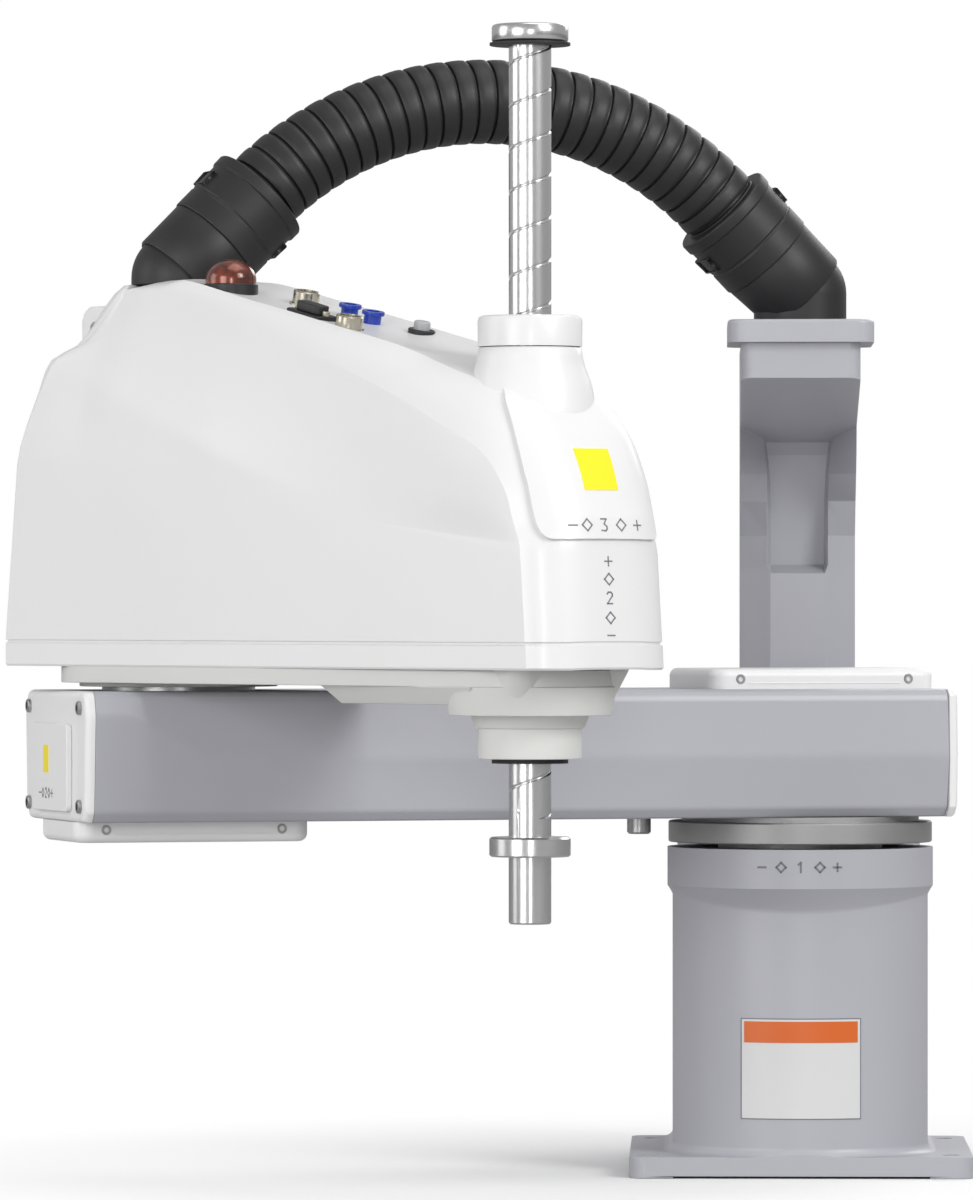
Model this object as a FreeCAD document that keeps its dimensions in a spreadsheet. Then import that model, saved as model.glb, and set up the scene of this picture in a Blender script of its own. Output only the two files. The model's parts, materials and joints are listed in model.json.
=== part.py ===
import FreeCAD, Part
import math
import os
import Sketcher
from FreeCAD import Placement, Rotation, Vector

# Four axis assembly robot arm (SCARA) in millimetres and degrees.
# +Z is up, +X to the right and +Y to the back. The origin is the first arm axis at the base's underside.
# Arm 1 parts are drawn along +X from the first axis, arm 2 parts along +X from the second axis,
# and each is then turned and moved to its place in the rest pose.

SIZES = {
    # base plate and column
    "plate_half": 86.0, "plate_front": 60.0, "plate_back": 113.0, "plate_thick": 10.5,
    "plate_corner": 8.0, "foot_relief": 1.0, "foot_inner": 64.0,
    "bolt_half_x": 75.0, "bolt_front": 39.0, "bolt_back": 91.0, "bolt_hole": 4.5,
    "column_half": 64.5, "column_corner": 34.0, "column_height": 134.1, "column_back_inset": 1.0,
    "collar_radius": 67.1, "collar_height": 19.5, "collar_chamfer": 5.8, "collar_inset": 2.0,
    "collar_core": 20.0,
    "cavity_radius": 46.0, "cavity_floor": 16.0, "seat_radius": 50.0, "seat_height": 112.0,
    "housing_half": 62.0, "housing_back": 160.0, "housing_top": 150.0, "housing_bottom": 24.0,
    "housing_wall": 6.0, "housing_front": 20.0, "cavity_wall": 8.0, "lug_height": 26.0,
    "lug_half_angle": 42.0, "lug_inner_gap": 1.0, "lug_outer_gap": 1.5, "cut_margin": 1.0,
    # rear connector panel
    "panel_thick": 3.0, "panel_inset": 2.0, "panel_corner": 3.0, "panel_screw_inset": 8.0,
    "power_radius": 17.0, "power_bore": 12.0, "power_length": 12.0, "power_floor": 4.0,
    "power_side": -30.0, "power_rise": 26.0, "signal_radius": 9.0, "signal_bore": 6.0,
    "signal_length": 9.0, "signal_floor": 3.0, "signal_pitch": 34.0, "signal_drop": 22.0,
    # rear post
    "post_half": 30.0, "post_front": 112.0, "post_back": 158.0, "post_bevel": 15.0,
    "post_knee": 371.0, "post_chin": 400.0, "post_top": 418.0, "post_nose": 36.0,
    "strip_half": 14.0, "strip_depth": 4.0, "strip_bottom": 303.0, "strip_slope": 6.0,
    "head_fillet": 6.0, "way_half": 20.0, "way_front": 20.0, "way_back": 6.0, "way_roof": 12.0,
    "flange_half": 36.85, "flange_thick": 11.5, "flange_corner": 9.0, "flange_back": 60.0,
    "flange_front": 40.85, "flange_edge": 2.0,
    # first axis drive
    "j1_motor_radius": 38.0, "j1_motor_height": 82.0, "j1_shaft_radius": 7.0,
    "spline_ring_height": 18.0, "j1_cup_radius": 30.0, "cup_wall": 2.0, "cup_floor": 3.0,
    "cup_rise": 2.0, "plug_rise": 4.0, "plug_height": 10.0, "motor_well": 12.0, "j1_motor_edge": 6.0,
    "motor_shoulder": 10.0,
    "j1_race_outer": 49.8, "j1_race_middle": 42.0, "j1_race_inner": 34.0, "race_height": 16.0,
    "race_gap": 0.15, "race_rise": 0.5, "j1_hub_rise": 4.0, "hub_inset": 0.5, "disc_edge": 0.6,
    "disc_radius": 66.6, "disc_height": 10.7, "disc_gap": 2.4, "disc_hub": 60.0, "hub_height": 2.8,
    # arm 1
    "arm1_angle": 198.4, "arm1_length": 325.0, "arm1_end": 58.0, "arm1_half": 62.0,
    "arm1_height": 64.0, "arm1_crease": 31.0, "arm1_top_bevel": 3.0, "arm1_bottom_bevel": 5.0,
    "arm1_wall": 7.0, "arm1_lean": 1.0, "arm1_boss_gap": 2.0, "j2_boss_wall": 5.0, "j2_step": 6.0,
    "j2_race_depth": 22.0, "j2_spline_rise": 4.0, "cup_drop": 6.0,
    "end_cover_thick": 5.0, "end_cover_edge": 3.0, "end_pad_thick": 3.0,
    "end_pad_half": 34.0, "end_pad_drop": 27.0, "end_pad_rise": 16.0, "end_pad_edge": 2.0,
    "end_screw_side": 6.0, "end_screw_level": 8.0,
    "cover_length": 119.0, "cover_width": 76.0, "cover_height": 10.2, "cover_edge": 4.0,
    "cover_corner": 9.0, "bottom_cover_offset": 2.0,
    "peg_radius": 6.0, "peg_height": 9.0, "peg_along": 85.7, "peg_edge": 1.0,
    # second axis drive
    "j2_race_outer": 46.0, "j2_race_middle": 38.0, "j2_race_inner": 30.0,
    "j2_cup_radius": 22.0, "j2_shaft_radius": 6.0, "j2_bore_floor": 10.0, "turret_gap": 2.0,
    "turret_radius": 49.0, "turret_height": 2.0, "j2_motor_radius": 34.0, "j2_motor_height": 84.0,
    "j2_motor_edge": 8.0,
    # arm 2 casting
    "arm2_angle": 310.4, "arm2_length": 275.0, "floor_thick": 8.0, "floor_rear": 58.0,
    "floor_nose": 40.0, "shelf_start": 176.0, "shelf_half": 35.0, "shelf_depth": 8.5, "shelf_draft": 40.0,
    "boss_radius": 38.0, "boss_depth": 13.5, "boss_draft": 12.0, "cone_draft": 22.0, "cone_bottom": 25.5,
    "cone_depth": 6.0, "race_seat_floor": 3.0, "throat_gap": 3.0,
    "passage_gap": 2.0, "spigot_radius": 24.3, "spigot_depth": 14.4, "seal_radius": 18.0,
    "seal_depth": 2.1,
    # hood
    "hood_wall": 3.0, "hood_crown_gap": 0.5, "tower_radius": 24.5, "tower_base": 32.0,
    "tower_base_height": 116.0, "tower_height": 151.7, "tower_collar_height": 14.2,
    "tower_bore": 14.0, "tower_bore_depth": 20.0, "tower_roof": 6.0, "collar_gap": 0.6, "collar_edge": 1.5,
    "seal_gap": 0.3,
    # tool shaft and its nuts
    "shaft_radius": 10.0, "shaft_bore": 5.5, "shaft_low": 136.6, "shaft_high": 552.0,
    "running_gap": 0.05, "moving_gap": 0.3, "cap_radius": 18.0, "cap_height": 8.5,
    "cap_socket": 2.0, "cap_edge": 1.0, "shaft_edge": 1.0, "ring_edge": 1.0,
    "bumper_radius": 19.0, "bumper_height": 1.6, "ring_radius": 19.1,
    "ring_height": 9.3, "ring_low": 168.2, "groove_depth": 0.4, "groove_height": 1.2,
    "nut_radius": 15.0, "nut_race_radius": 19.5, "nut_race_height": 16.0, "nut_height": 45.0,
    "nut_rise": 0.5, "pulley_gap": 0.5, "pulley_radius": 22.0, "pulley_height": 14.0, "pulley_flange": 1.5,
    "screw_nut_radius": 17.0, "screw_nut_height": 34.0, "screw_race_radius": 24.0,
    "screw_race_height": 12.0, "screw_pulley_level": 56.0,
    "motor_pulley_radius": 11.0, "motor_shaft_radius": 5.0, "belt_thick": 2.0, "belt_width": 10.0,
    "u_motor_along": 112.0, "z_motor_along": 178.0, "motor_half": 22.0, "motor_height": 66.0,
    "motor_corner": 5.0, "wrist_motor_well": 14.0, "wrist_shaft_rise": 12.0, "table_edge": 4.0,
    "leg_offset": 16.0, "stem_gap": 4.0,
    "u_table_level": 26.0, "z_table_level": 76.0, "table_thick": 6.0, "table_half": 34.0,
    "leg_thick": 4.0, "leg_length": 34.0,
    # cable duct
    "duct_radius": 20.0, "duct_wall": 2.5, "elbow_radius": 23.0, "coupling_radius": 26.0,
    "coupling_length": 34.0, "elbow_run": 25.5,
    "post_corner_rise": 14.1, "hood_corner_rise": 4.0, "duct_seat_gap": 0.5,
    "duct_entry": 9.0, "duct_entry_gap": 0.6, "duct_end_gap": 2.5,
    # small fittings; a level is how far a fitting stands above the arm 2 floor
    "screw_head": 3.6, "screw_head_height": 2.2, "fitting_gap": 0.1, "fitting_height": 14.0,
    "lamp_radius": 12.0, "lamp_rim": 14.0, "lamp_along": 56.0, "lamp_side": -10.0, "lamp_level": 187.0,
    "button_radius": 4.0, "button_along": 168.0, "button_side": 20.0, "button_level": 166.0,
    "round_fitting_radius": 6.5, "round_a_along": 92.0, "round_a_side": 8.0, "round_a_level": 182.0,
    "round_b_along": 158.0, "round_b_side": -17.0, "round_b_level": 170.0,
    "air_fitting_radius": 4.5, "air_a_along": 124.0, "air_b_along": 142.0, "air_side": 10.0,
    "air_a_level": 176.0, "air_b_level": 172.0, "block_along": 128.0, "block_side": -16.0,
    "block_length": 26.0, "block_width": 14.0, "block_level": 177.0, "block_corner": 2.0,
    "lamp_rise": 3.0, "button_edge": 1.0, "fitting_cut": 44.0,
    "ear_rear": 64.0, "ear_front": 30.0, "ear_low": 152.0, "ear_high": 179.0, "ear_half": 13.0,
    "ear_top_inset": 8.0, "ear_slope": 12.0,
}

# Hood outline at each height above the arm 2 floor: rear reach, rear corner along the arm and its
# half width, shoulder along the arm and its half width, front along the arm and its half width.
# The sides' shoulder and front are measured from the tool axis, the crown's from the second axis.
HOOD_SIDES = [
    (0.0, 77.5, -66.3, 58.5, 43.0, 44.5, 59.5, 24.0),
    (32.0, 78.0, -67.2, 58.0, 42.0, 44.3, 58.5, 24.0),
    (68.0, 76.0, -64.8, 57.0, 38.0, 43.5, 53.5, 24.0),
    (97.0, 73.0, -61.5, 55.5, 25.0, 44.0, 44.0, 25.0),
    (114.0, 70.0, -58.0, 54.0, -7.0, 46.0, 33.0, 26.0),
    (134.0, 66.0, -51.5, 50.5, -47.0, 44.0, 5.0, 28.0),
]
HOOD_CROWN = [
    (155.0, 62.0, -38.0, 44.0, 164.0, 41.0, 203.0, 29.0),
    (172.0, 44.0, -12.0, 37.0, 98.0, 36.0, 130.0, 29.5),
    (184.0, 31.5, -3.0, 31.0, 46.0, 30.5, 68.0, 29.0),
    (188.0, 27.0, -2.0, 27.0, 36.0, 26.5, 46.0, 25.0),
]
HOOD_LETTERS = "abcdefghij"
HOOD_KEYS = ("level", "rear", "rear_corner", "rear_half", "shoulder", "shoulder_half", "front", "front_half")


class Size:
    """A number together with the sheet expression that it comes from."""

    def __init__(self, value, text):
        self.value = float(value)
        self.text = text

    def __add__(self, other):
        return Size(self.value + number(other), f"({self.text} + {words(other)})")

    def __radd__(self, other):
        return Size(number(other) + self.value, f"({words(other)} + {self.text})")

    def __sub__(self, other):
        return Size(self.value - number(other), f"({self.text} - {words(other)})")

    def __rsub__(self, other):
        return Size(number(other) - self.value, f"({words(other)} - {self.text})")

    def __mul__(self, other):
        return Size(self.value * number(other), f"({self.text} * {words(other)})")

    def __rmul__(self, other):
        return Size(number(other) * self.value, f"({words(other)} * {self.text})")

    def __truediv__(self, other):
        return Size(self.value / number(other), f"({self.text} / {words(other)})")

    def __neg__(self):
        return Size(-self.value, f"(-1 * {self.text})")


def number(size):
    return size.value if isinstance(size, Size) else float(size)


def words(size):
    return size.text if isinstance(size, Size) else repr(float(size))


def cosine(angle):
    return Size(math.cos(math.radians(number(angle))), f"cos({words(angle)} * 1 deg)")


def sine(angle):
    return Size(math.sin(math.radians(number(angle))), f"sin({words(angle)} * 1 deg)")


def root(size):
    return Size(math.sqrt(number(size)), f"sqrt({words(size)})")


class Sheet:
    """The driving dimensions, read by name; the levels derived from them are kept beside them."""

    def __init__(self, document, sizes):
        page = document.addObject("Spreadsheet::Sheet", "sizes")
        for row, (name, value) in enumerate(sizes.items(), start=1):
            page.set(f"A{row}", name)
            page.set(f"B{row}", str(value))
            page.setAlias(f"B{row}", name)
            setattr(self, name, Size(value, f"sizes.{name}"))


def all_sizes():
    sizes = dict(SIZES)
    for letter, level in zip(HOOD_LETTERS, HOOD_SIDES + HOOD_CROWN):
        for key, value in zip(HOOD_KEYS, level):
            sizes[f"hood_{key}_{letter}"] = value
    return sizes


doc = FreeCAD.newDocument("scara_robot")
d = Sheet(doc, all_sizes())
doc.recompute()

# Levels and places that several parts share.
d.column_top = d.plate_thick + d.column_height
d.collar_top = d.column_top + d.collar_height
d.disc_low = d.collar_top + d.disc_gap
d.disc_top = d.disc_low + d.disc_height
d.arm1_low = d.disc_top + d.hub_height
d.arm1_top = d.arm1_low + d.arm1_height
d.turret_low = d.arm1_top + d.turret_gap
d.floor_low = d.turret_low + d.turret_height
d.floor_top = d.floor_low + d.floor_thick
d.boss_low = d.floor_low - d.boss_depth
d.cone_low = d.boss_low - d.cone_depth
d.spigot_low = d.cone_low - d.spigot_depth
d.hood_top = d.floor_top + d.hood_level_j
d.tower_top = d.floor_top + d.tower_height
d.flange_top = d.post_top + d.flange_thick
d.j1_race_low = d.seat_height + d.spline_ring_height
d.j1_hub_low = d.j1_race_low + d.race_height + d.j1_hub_rise
d.j2_race_low = d.arm1_top - d.j2_race_depth
d.joint2_x = d.arm1_length * cosine(d.arm1_angle)
d.joint2_y = d.arm1_length * sine(d.arm1_angle)
d.arm1_half_top = d.arm1_half - d.arm1_top_bevel - d.arm1_lean
d.arm1_half_low = d.arm1_half - d.arm1_bottom_bevel

FRAMES = {
    "base": (0.0, 0.0, 0.0),
    "arm1": (0.0, 0.0, d.arm1_angle),
    "arm2": (d.joint2_x, d.joint2_y, d.arm2_angle),
}
PARTS = []


def bind(item, name, size):
    """Gives a property its value and, where the size comes from the sheet, its expression."""
    if isinstance(size, Size):
        item.setExpression(name, size.text)
    elif "." not in name:
        setattr(item, name, size)


def place(item, frame, along=0.0, across=0.0, level=0.0):
    """Turns and moves a part that is drawn at the origin to its place in the named frame."""
    base_x, base_y, angle = FRAMES[frame]
    spot_x = base_x + along * cosine(angle) - across * sine(angle)
    spot_y = base_y + along * sine(angle) + across * cosine(angle)
    spot = Vector(number(spot_x), number(spot_y), number(level))
    item.Placement = Placement(spot, Rotation(Vector(0, 0, 1), number(angle)))
    bind(item, "Placement.Base.x", spot_x)
    bind(item, "Placement.Base.y", spot_y)
    if isinstance(level, Size):
        bind(item, "Placement.Base.z", level)
    if isinstance(angle, Size):
        bind(item, "Placement.Rotation.Angle", angle)


def keep(item, name, frame="base", along=0.0, across=0.0, level=0.0):
    item.Label = name
    place(item, frame, along, across, level)
    PARTS.append(item)
    return item


def new_body(name):
    return doc.addObject("PartDesign::Body", name)


def new_sketch(body, role, offset=0.0):
    sketch = body.newObject("Sketcher::SketchObject", body.Name + "_sketch")
    plane = [item for item in body.Origin.OriginFeatures if item.Role == role][0]
    sketch.AttachmentSupport = [(plane, "")]
    sketch.MapMode = "FlatFace"
    sketch.AttachmentOffset = Placement(Vector(0, 0, number(offset)), Rotation())
    if isinstance(offset, Size):
        bind(sketch, "AttachmentOffset.Base.z", offset)
    return sketch


def fix_point(sketch, edge, end, x, y):
    """Holds one point of a sketch at a place given by sizes."""
    for kind, size in (("DistanceX", x), ("DistanceY", y)):
        index = sketch.addConstraint(Sketcher.Constraint(kind, -1, 1, edge, end, number(size)))
        if isinstance(size, Size):
            sketch.setExpression(f"Constraints[{index}]", size.text)


def outline(sketch, corners):
    """Closed outline, counterclockwise. A corner's third value is the radius of the arc that follows it."""
    spots = [Vector(number(c[0]), number(c[1]), 0) for c in corners]
    first = sketch.GeometryCount
    ends = []
    for index, corner in enumerate(corners):
        start = spots[index]
        stop = spots[(index + 1) % len(spots)]
        if len(corner) == 2:
            edge = sketch.addGeometry(Part.LineSegment(start, stop), False)
        else:
            radius = abs(number(corner[2]))
            turn = 1 if number(corner[2]) > 0 else -1
            chord = stop - start
            reach = math.sqrt(max(radius ** 2 - (chord.Length / 2) ** 2, 0))
            side = Vector(-chord.y, chord.x, 0) * (turn * reach / chord.Length)
            centre = (start + stop) * 0.5 + side
            low, high = (start, stop) if turn > 0 else (stop, start)
            angle_low = math.atan2(low.y - centre.y, low.x - centre.x)
            angle_high = math.atan2(high.y - centre.y, high.x - centre.x)
            circle = Part.Circle(centre, Vector(0, 0, 1), radius)
            edge = sketch.addGeometry(Part.ArcOfCircle(circle, angle_low, angle_high), False)
        ends.append((edge, 1, 2) if len(corner) == 2 or number(corner[2]) > 0 else (edge, 2, 1))
    for index, (edge, head, tail) in enumerate(ends):
        following = ends[(index + 1) % len(ends)]
        sketch.addConstraint(Sketcher.Constraint("Coincident", edge, tail, following[0], following[1]))
        fix_point(sketch, edge, head, corners[index][0], corners[index][1])
        if len(corners[index]) == 3:
            radius = corners[index][2] if number(corners[index][2]) > 0 else -corners[index][2]
            row = sketch.addConstraint(Sketcher.Constraint("Radius", edge, number(radius)))
            if isinstance(radius, Size):
                sketch.setExpression(f"Constraints[{row}]", radius.text)
    return first


def ring(sketch, x, y, radius):
    shape = Part.Circle(Vector(number(x), number(y), 0), Vector(0, 0, 1), number(radius))
    edge = sketch.addGeometry(shape, False)
    fix_point(sketch, edge, 3, x, y)
    row = sketch.addConstraint(Sketcher.Constraint("Radius", edge, number(radius)))
    if isinstance(radius, Size):
        sketch.setExpression(f"Constraints[{row}]", radius.text)


def pad(body, sketch, length, both_ways=False, taper=0.0):
    feature = body.newObject("PartDesign::Pad", body.Name + "_pad")
    feature.Profile = sketch
    feature.Length = number(length)
    bind(feature, "Length", length)
    feature.SideType = "Symmetric" if both_ways else "One side"
    bind(feature, "TaperAngle", taper)
    return feature


def pocket(body, sketch, length, both_ways=False, upward=False):
    feature = body.newObject("PartDesign::Pocket", body.Name + "_pocket")
    feature.Profile = sketch
    feature.Length = number(length)
    bind(feature, "Length", length)
    feature.SideType = "Symmetric" if both_ways else "One side"
    feature.Reversed = upward
    return feature


def spin(body, corners, cut=False):
    """Turns a profile of (radius, height) corners about the vertical axis, to add or to cut."""
    sketch = new_sketch(body, "XZ_Plane")
    outline(sketch, corners)
    kind = "PartDesign::Groove" if cut else "PartDesign::Revolution"
    feature = body.newObject(kind, body.Name + "_turn")
    feature.Profile = sketch
    feature.ReferenceAxis = (sketch, ["V_Axis"])
    feature.Angle = 360
    return feature


def tube(name, outer, inner, low, high):
    body = new_body(name)
    spin(body, [(inner, low), (outer, low), (outer, high), (inner, high)])
    return body


def rectangle(sketch, x_low, x_high, y_low, y_high):
    outline(sketch, [(x_low, y_low), (x_high, y_low), (x_high, y_high), (x_low, y_high)])


def dress(body, kind, size, choose):
    """Fillets or chamfers the edges of the body's tip that the given test picks."""
    doc.recompute()
    tip = body.Tip
    names = [f"Edge{i}" for i, edge in enumerate(tip.Shape.Edges, start=1) if choose(edge)]
    feature = body.newObject(f"PartDesign::{kind}", body.Name + "_" + kind.lower())
    feature.Base = (tip, names)
    prop = "Radius" if kind == "Fillet" else "Size"
    setattr(feature, prop, number(size))
    bind(feature, prop, size)
    return feature


def is_upright(edge):
    """True for a straight edge that runs up."""
    ends = [vertex.Point for vertex in edge.Vertexes]
    return len(ends) == 2 and edge.Curve.TypeId == "Part::GeomLine" and (
        abs(ends[0].x - ends[1].x) + abs(ends[0].y - ends[1].y) < 0.001)


def at_height(edge, level):
    box = edge.BoundBox
    return abs(box.ZMin - number(level)) < 0.01 and abs(box.ZMax - number(level)) < 0.01


def centre_of(edge):
    return edge.BoundBox.Center


def cylinder(name, radius, height, x=0.0, y=0.0, z=0.0, axis=Vector(0, 0, 1)):
    solid = doc.addObject("Part::Cylinder", name)
    bind(solid, "Radius", radius)
    bind(solid, "Height", height)
    spot = Vector(number(x), number(y), number(z))
    solid.Placement = Placement(spot, Rotation(Vector(0, 0, 1), axis))
    for letter, size in zip("xyz", (x, y, z)):
        if isinstance(size, Size):
            bind(solid, f"Placement.Base.{letter}", size)
    return solid


def joined(name, solids, kind="Part::MultiFuse"):
    whole = doc.addObject(kind, name)
    if kind == "Part::Compound":
        whole.Links = solids
    else:
        whole.Shapes = solids
    return whole


def cut_from(name, solid, tool):
    result = doc.addObject("Part::Cut", name)
    result.Base = solid
    result.Tool = tool
    return result


def screws(name, spots, axis=Vector(0, 0, 1)):
    """Socket head screws as one group; each spot is where a head meets the face it clamps."""
    heads = []
    for index, (x, y, z) in enumerate(spots):
        head = cylinder(f"{name}_head_{index}", d.screw_head, d.screw_head_height, x, y, z, axis)
        socket = doc.addObject("Part::Prism", f"{name}_socket_{index}")
        socket.Polygon = 6
        bind(socket, "Circumradius", d.screw_head * 0.5)
        bind(socket, "Height", d.screw_head_height)
        lift = axis * (number(d.screw_head_height) / 2)
        socket.Placement = Placement(head.Placement.Base + lift, head.Placement.Rotation)
        heads.append(cut_from(f"{name}_screw_{index}", head, socket))
    return joined(name, heads, "Part::Compound")


def make_base_casting():
    body = new_body("base_casting")
    plate = new_sketch(body, "XY_Plane")
    rectangle(plate, -d.plate_half, d.plate_half, -d.plate_front, d.plate_back)
    pad(body, plate, d.plate_thick)
    dress(body, "Fillet", d.plate_corner, is_upright)
    column = new_sketch(body, "XY_Plane")
    half = d.column_half
    round_ = d.column_corner
    column_back = d.plate_back - d.column_back_inset
    outline(column, [(half, round_ - d.plate_front), (half, column_back), (-half, column_back),
                     (-half, round_ - d.plate_front, round_), (round_ - half, -d.plate_front),
                     (half - round_, -d.plate_front, round_)])
    pad(body, column, d.column_top)
    housing = new_sketch(body, "XY_Plane", d.housing_bottom)
    rectangle(housing, -d.housing_half, d.housing_half, d.housing_front, d.housing_back)
    pad(body, housing, d.housing_top - d.housing_bottom)
    collar_low = d.column_top - d.collar_chamfer
    spin(body, [(d.collar_core, collar_low), (d.column_half - d.collar_inset, collar_low),
                (d.collar_radius, d.column_top), (d.collar_radius, d.collar_top),
                (d.collar_core, d.collar_top)])
    lug = new_sketch(body, "XY_Plane", d.housing_top)
    inner = d.peg_along - d.peg_radius - d.lug_inner_gap
    outer = d.peg_along + d.peg_radius + d.lug_outer_gap
    lug_x = sine(d.lug_half_angle)
    lug_y = cosine(d.lug_half_angle)
    outline(lug, [(outer * lug_x, outer * lug_y, outer), (-outer * lug_x, outer * lug_y),
                  (-inner * lug_x, inner * lug_y, -inner), (inner * lug_x, inner * lug_y)])
    pad(body, lug, d.lug_height)
    spin(body, [(0.0, d.cavity_floor), (d.cavity_radius, d.cavity_floor), (d.cavity_radius, d.seat_height),
                (d.seat_radius, d.seat_height), (d.seat_radius, d.collar_top + d.cut_margin),
                (0.0, d.collar_top + d.cut_margin)], cut=True)
    hollow = new_sketch(body, "XZ_Plane", -d.housing_back)
    rectangle(hollow, d.housing_wall - d.housing_half, d.housing_half - d.housing_wall,
              d.housing_bottom + d.housing_wall, d.housing_top - d.housing_wall)
    pocket(body, hollow, d.housing_back - d.seat_radius - d.cavity_wall, upward=True)
    recess = new_sketch(body, "XY_Plane")
    rectangle(recess, -d.foot_inner, d.foot_inner, -d.plate_front - d.cut_margin,
              d.plate_back + d.cut_margin)
    pocket(body, recess, d.foot_relief, upward=True)
    holes = new_sketch(body, "XY_Plane", d.plate_thick)
    for side in (-1, 1):
        ring(holes, side * d.bolt_half_x, -d.bolt_front, d.bolt_hole)
        ring(holes, side * d.bolt_half_x, d.bolt_back, d.bolt_hole)
    pocket(body, holes, d.plate_thick)
    return keep(body, "base_casting")


def make_rear_post():
    body = new_body("rear_post")
    side = new_sketch(body, "YZ_Plane")
    outline(side, [(d.post_front, d.housing_top), (d.post_back, d.housing_top), (d.post_back, d.post_top),
                   (-d.post_nose, d.post_top), (-d.post_nose, d.post_chin), (d.post_front, d.post_knee)])
    pad(body, side, d.post_half * 2, both_ways=True)
    low = number(d.post_knee - d.cut_margin)

    def on_front(edge):
        return is_upright(edge) and abs(centre_of(edge).y - number(d.post_front)) < 0.01

    def on_head(edge):
        return is_upright(edge) and centre_of(edge).z > low
    dress(body, "Chamfer", d.post_bevel, on_front)
    dress(body, "Fillet", d.head_fillet, lambda edge: on_head(edge) and centre_of(edge).y < 0)
    strip = new_sketch(body, "YZ_Plane")
    skin = d.post_front - d.cut_margin
    floor = d.post_front + d.strip_depth
    outline(strip, [(skin, d.strip_bottom - d.cut_margin), (floor, d.strip_bottom + d.strip_slope),
                    (floor, d.post_knee - d.strip_slope), (skin, d.post_knee - d.cut_margin)])
    pocket(body, strip, d.strip_half * 2, both_ways=True)
    way = new_sketch(body, "XY_Plane", d.housing_top)
    rectangle(way, -d.way_half, d.way_half, d.post_front + d.way_front, d.post_back - d.way_back)
    pocket(body, way, d.post_top - d.housing_top - d.way_roof, upward=True)
    return keep(body, "rear_post")


def make_post_flange():
    body = new_body("post_flange")
    sketch = new_sketch(body, "XY_Plane", d.post_top)
    rectangle(sketch, -d.flange_half, d.flange_half, -d.flange_front, d.flange_back)
    pad(body, sketch, d.flange_thick)
    dress(body, "Fillet", d.flange_corner, is_upright)
    dress(body, "Fillet", d.flange_edge, lambda edge: at_height(edge, d.flange_top))
    return keep(body, "post_flange")


def make_rear_panel():
    body = new_body("connector_panel")
    sketch = new_sketch(body, "XZ_Plane", -d.housing_back)
    inset = d.panel_inset
    rectangle(sketch, inset - d.housing_half, d.housing_half - inset, d.housing_bottom + inset,
              d.housing_top - inset)
    feature = pad(body, sketch, d.panel_thick)
    feature.Reversed = True
    dress(body, "Fillet", d.panel_corner, lambda edge: abs(edge.Length - number(d.panel_thick)) < 0.01)
    keep(body, "connector_panel")
    face = d.housing_back + d.panel_thick
    back = Vector(0, 1, 0)
    mid = (d.housing_bottom + d.housing_top) * 0.5
    high = mid + d.power_rise
    shell = cylinder("power_shell", d.power_radius, d.power_length, d.power_side, face, high, back)
    core = cylinder("power_core", d.power_bore, d.power_length, d.power_side, face + d.power_floor, high,
                    back)
    keep(cut_from("power_connector", shell, core), "power_connector")
    rims = []
    low = mid - d.signal_drop
    for index in range(3):
        spot = (index - 1) * d.signal_pitch
        rim = cylinder(f"signal_rim_{index}", d.signal_radius, d.signal_length, spot, face, low, back)
        core = cylinder(f"signal_core_{index}", d.signal_bore, d.signal_length, spot, face + d.signal_floor,
                        low, back)
        rims.append(cut_from(f"signal_{index}", rim, core))
    keep(joined("signal_connectors", rims, "Part::Compound"), "signal_connectors")
    edge = d.housing_half - d.panel_screw_inset
    spots = []
    for side in (-1, 1):
        spots.append((side * edge, face, d.housing_bottom + d.panel_screw_inset))
        spots.append((side * edge, face, d.housing_top - d.panel_screw_inset))
    keep(screws("panel_screws", spots, back), "panel_screws")


def make_base_drive():
    motor = new_body("j1_motor")
    top = d.cavity_floor + d.j1_motor_height
    bore = d.j1_shaft_radius + d.moving_gap
    well = top - d.motor_well
    spin(motor, [(0.0, d.cavity_floor), (d.j1_motor_radius, d.cavity_floor),
                 (d.j1_motor_radius, top - d.j1_motor_edge), (d.j1_motor_radius - d.motor_shoulder, top),
                 (bore, top), (bore, well), (0.0, well)])
    keep(motor, "j1_motor")
    ring_top = d.j1_race_low
    spline = tube("j1_circular_spline", d.seat_radius - d.running_gap, d.j1_cup_radius + d.moving_gap,
                  d.seat_height, ring_top)
    keep(spline, "j1_circular_spline")
    race = tube("j1_bearing_outer", d.j1_race_outer, d.j1_race_middle + d.race_gap, ring_top,
                ring_top + d.race_height)
    keep(race, "j1_bearing_outer")
    rotor = new_body("j1_wave_generator")
    plug = d.j1_cup_radius - d.cup_wall - d.moving_gap
    low = well + d.moving_gap
    plug_low = d.seat_height + d.plug_rise
    plug_top = plug_low + d.plug_height
    spin(rotor, [(0.0, low), (d.j1_shaft_radius, low), (d.j1_shaft_radius, plug_low), (plug, plug_low),
                 (plug, plug_top), (0.0, plug_top)])
    keep(rotor, "j1_wave_generator")


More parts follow.
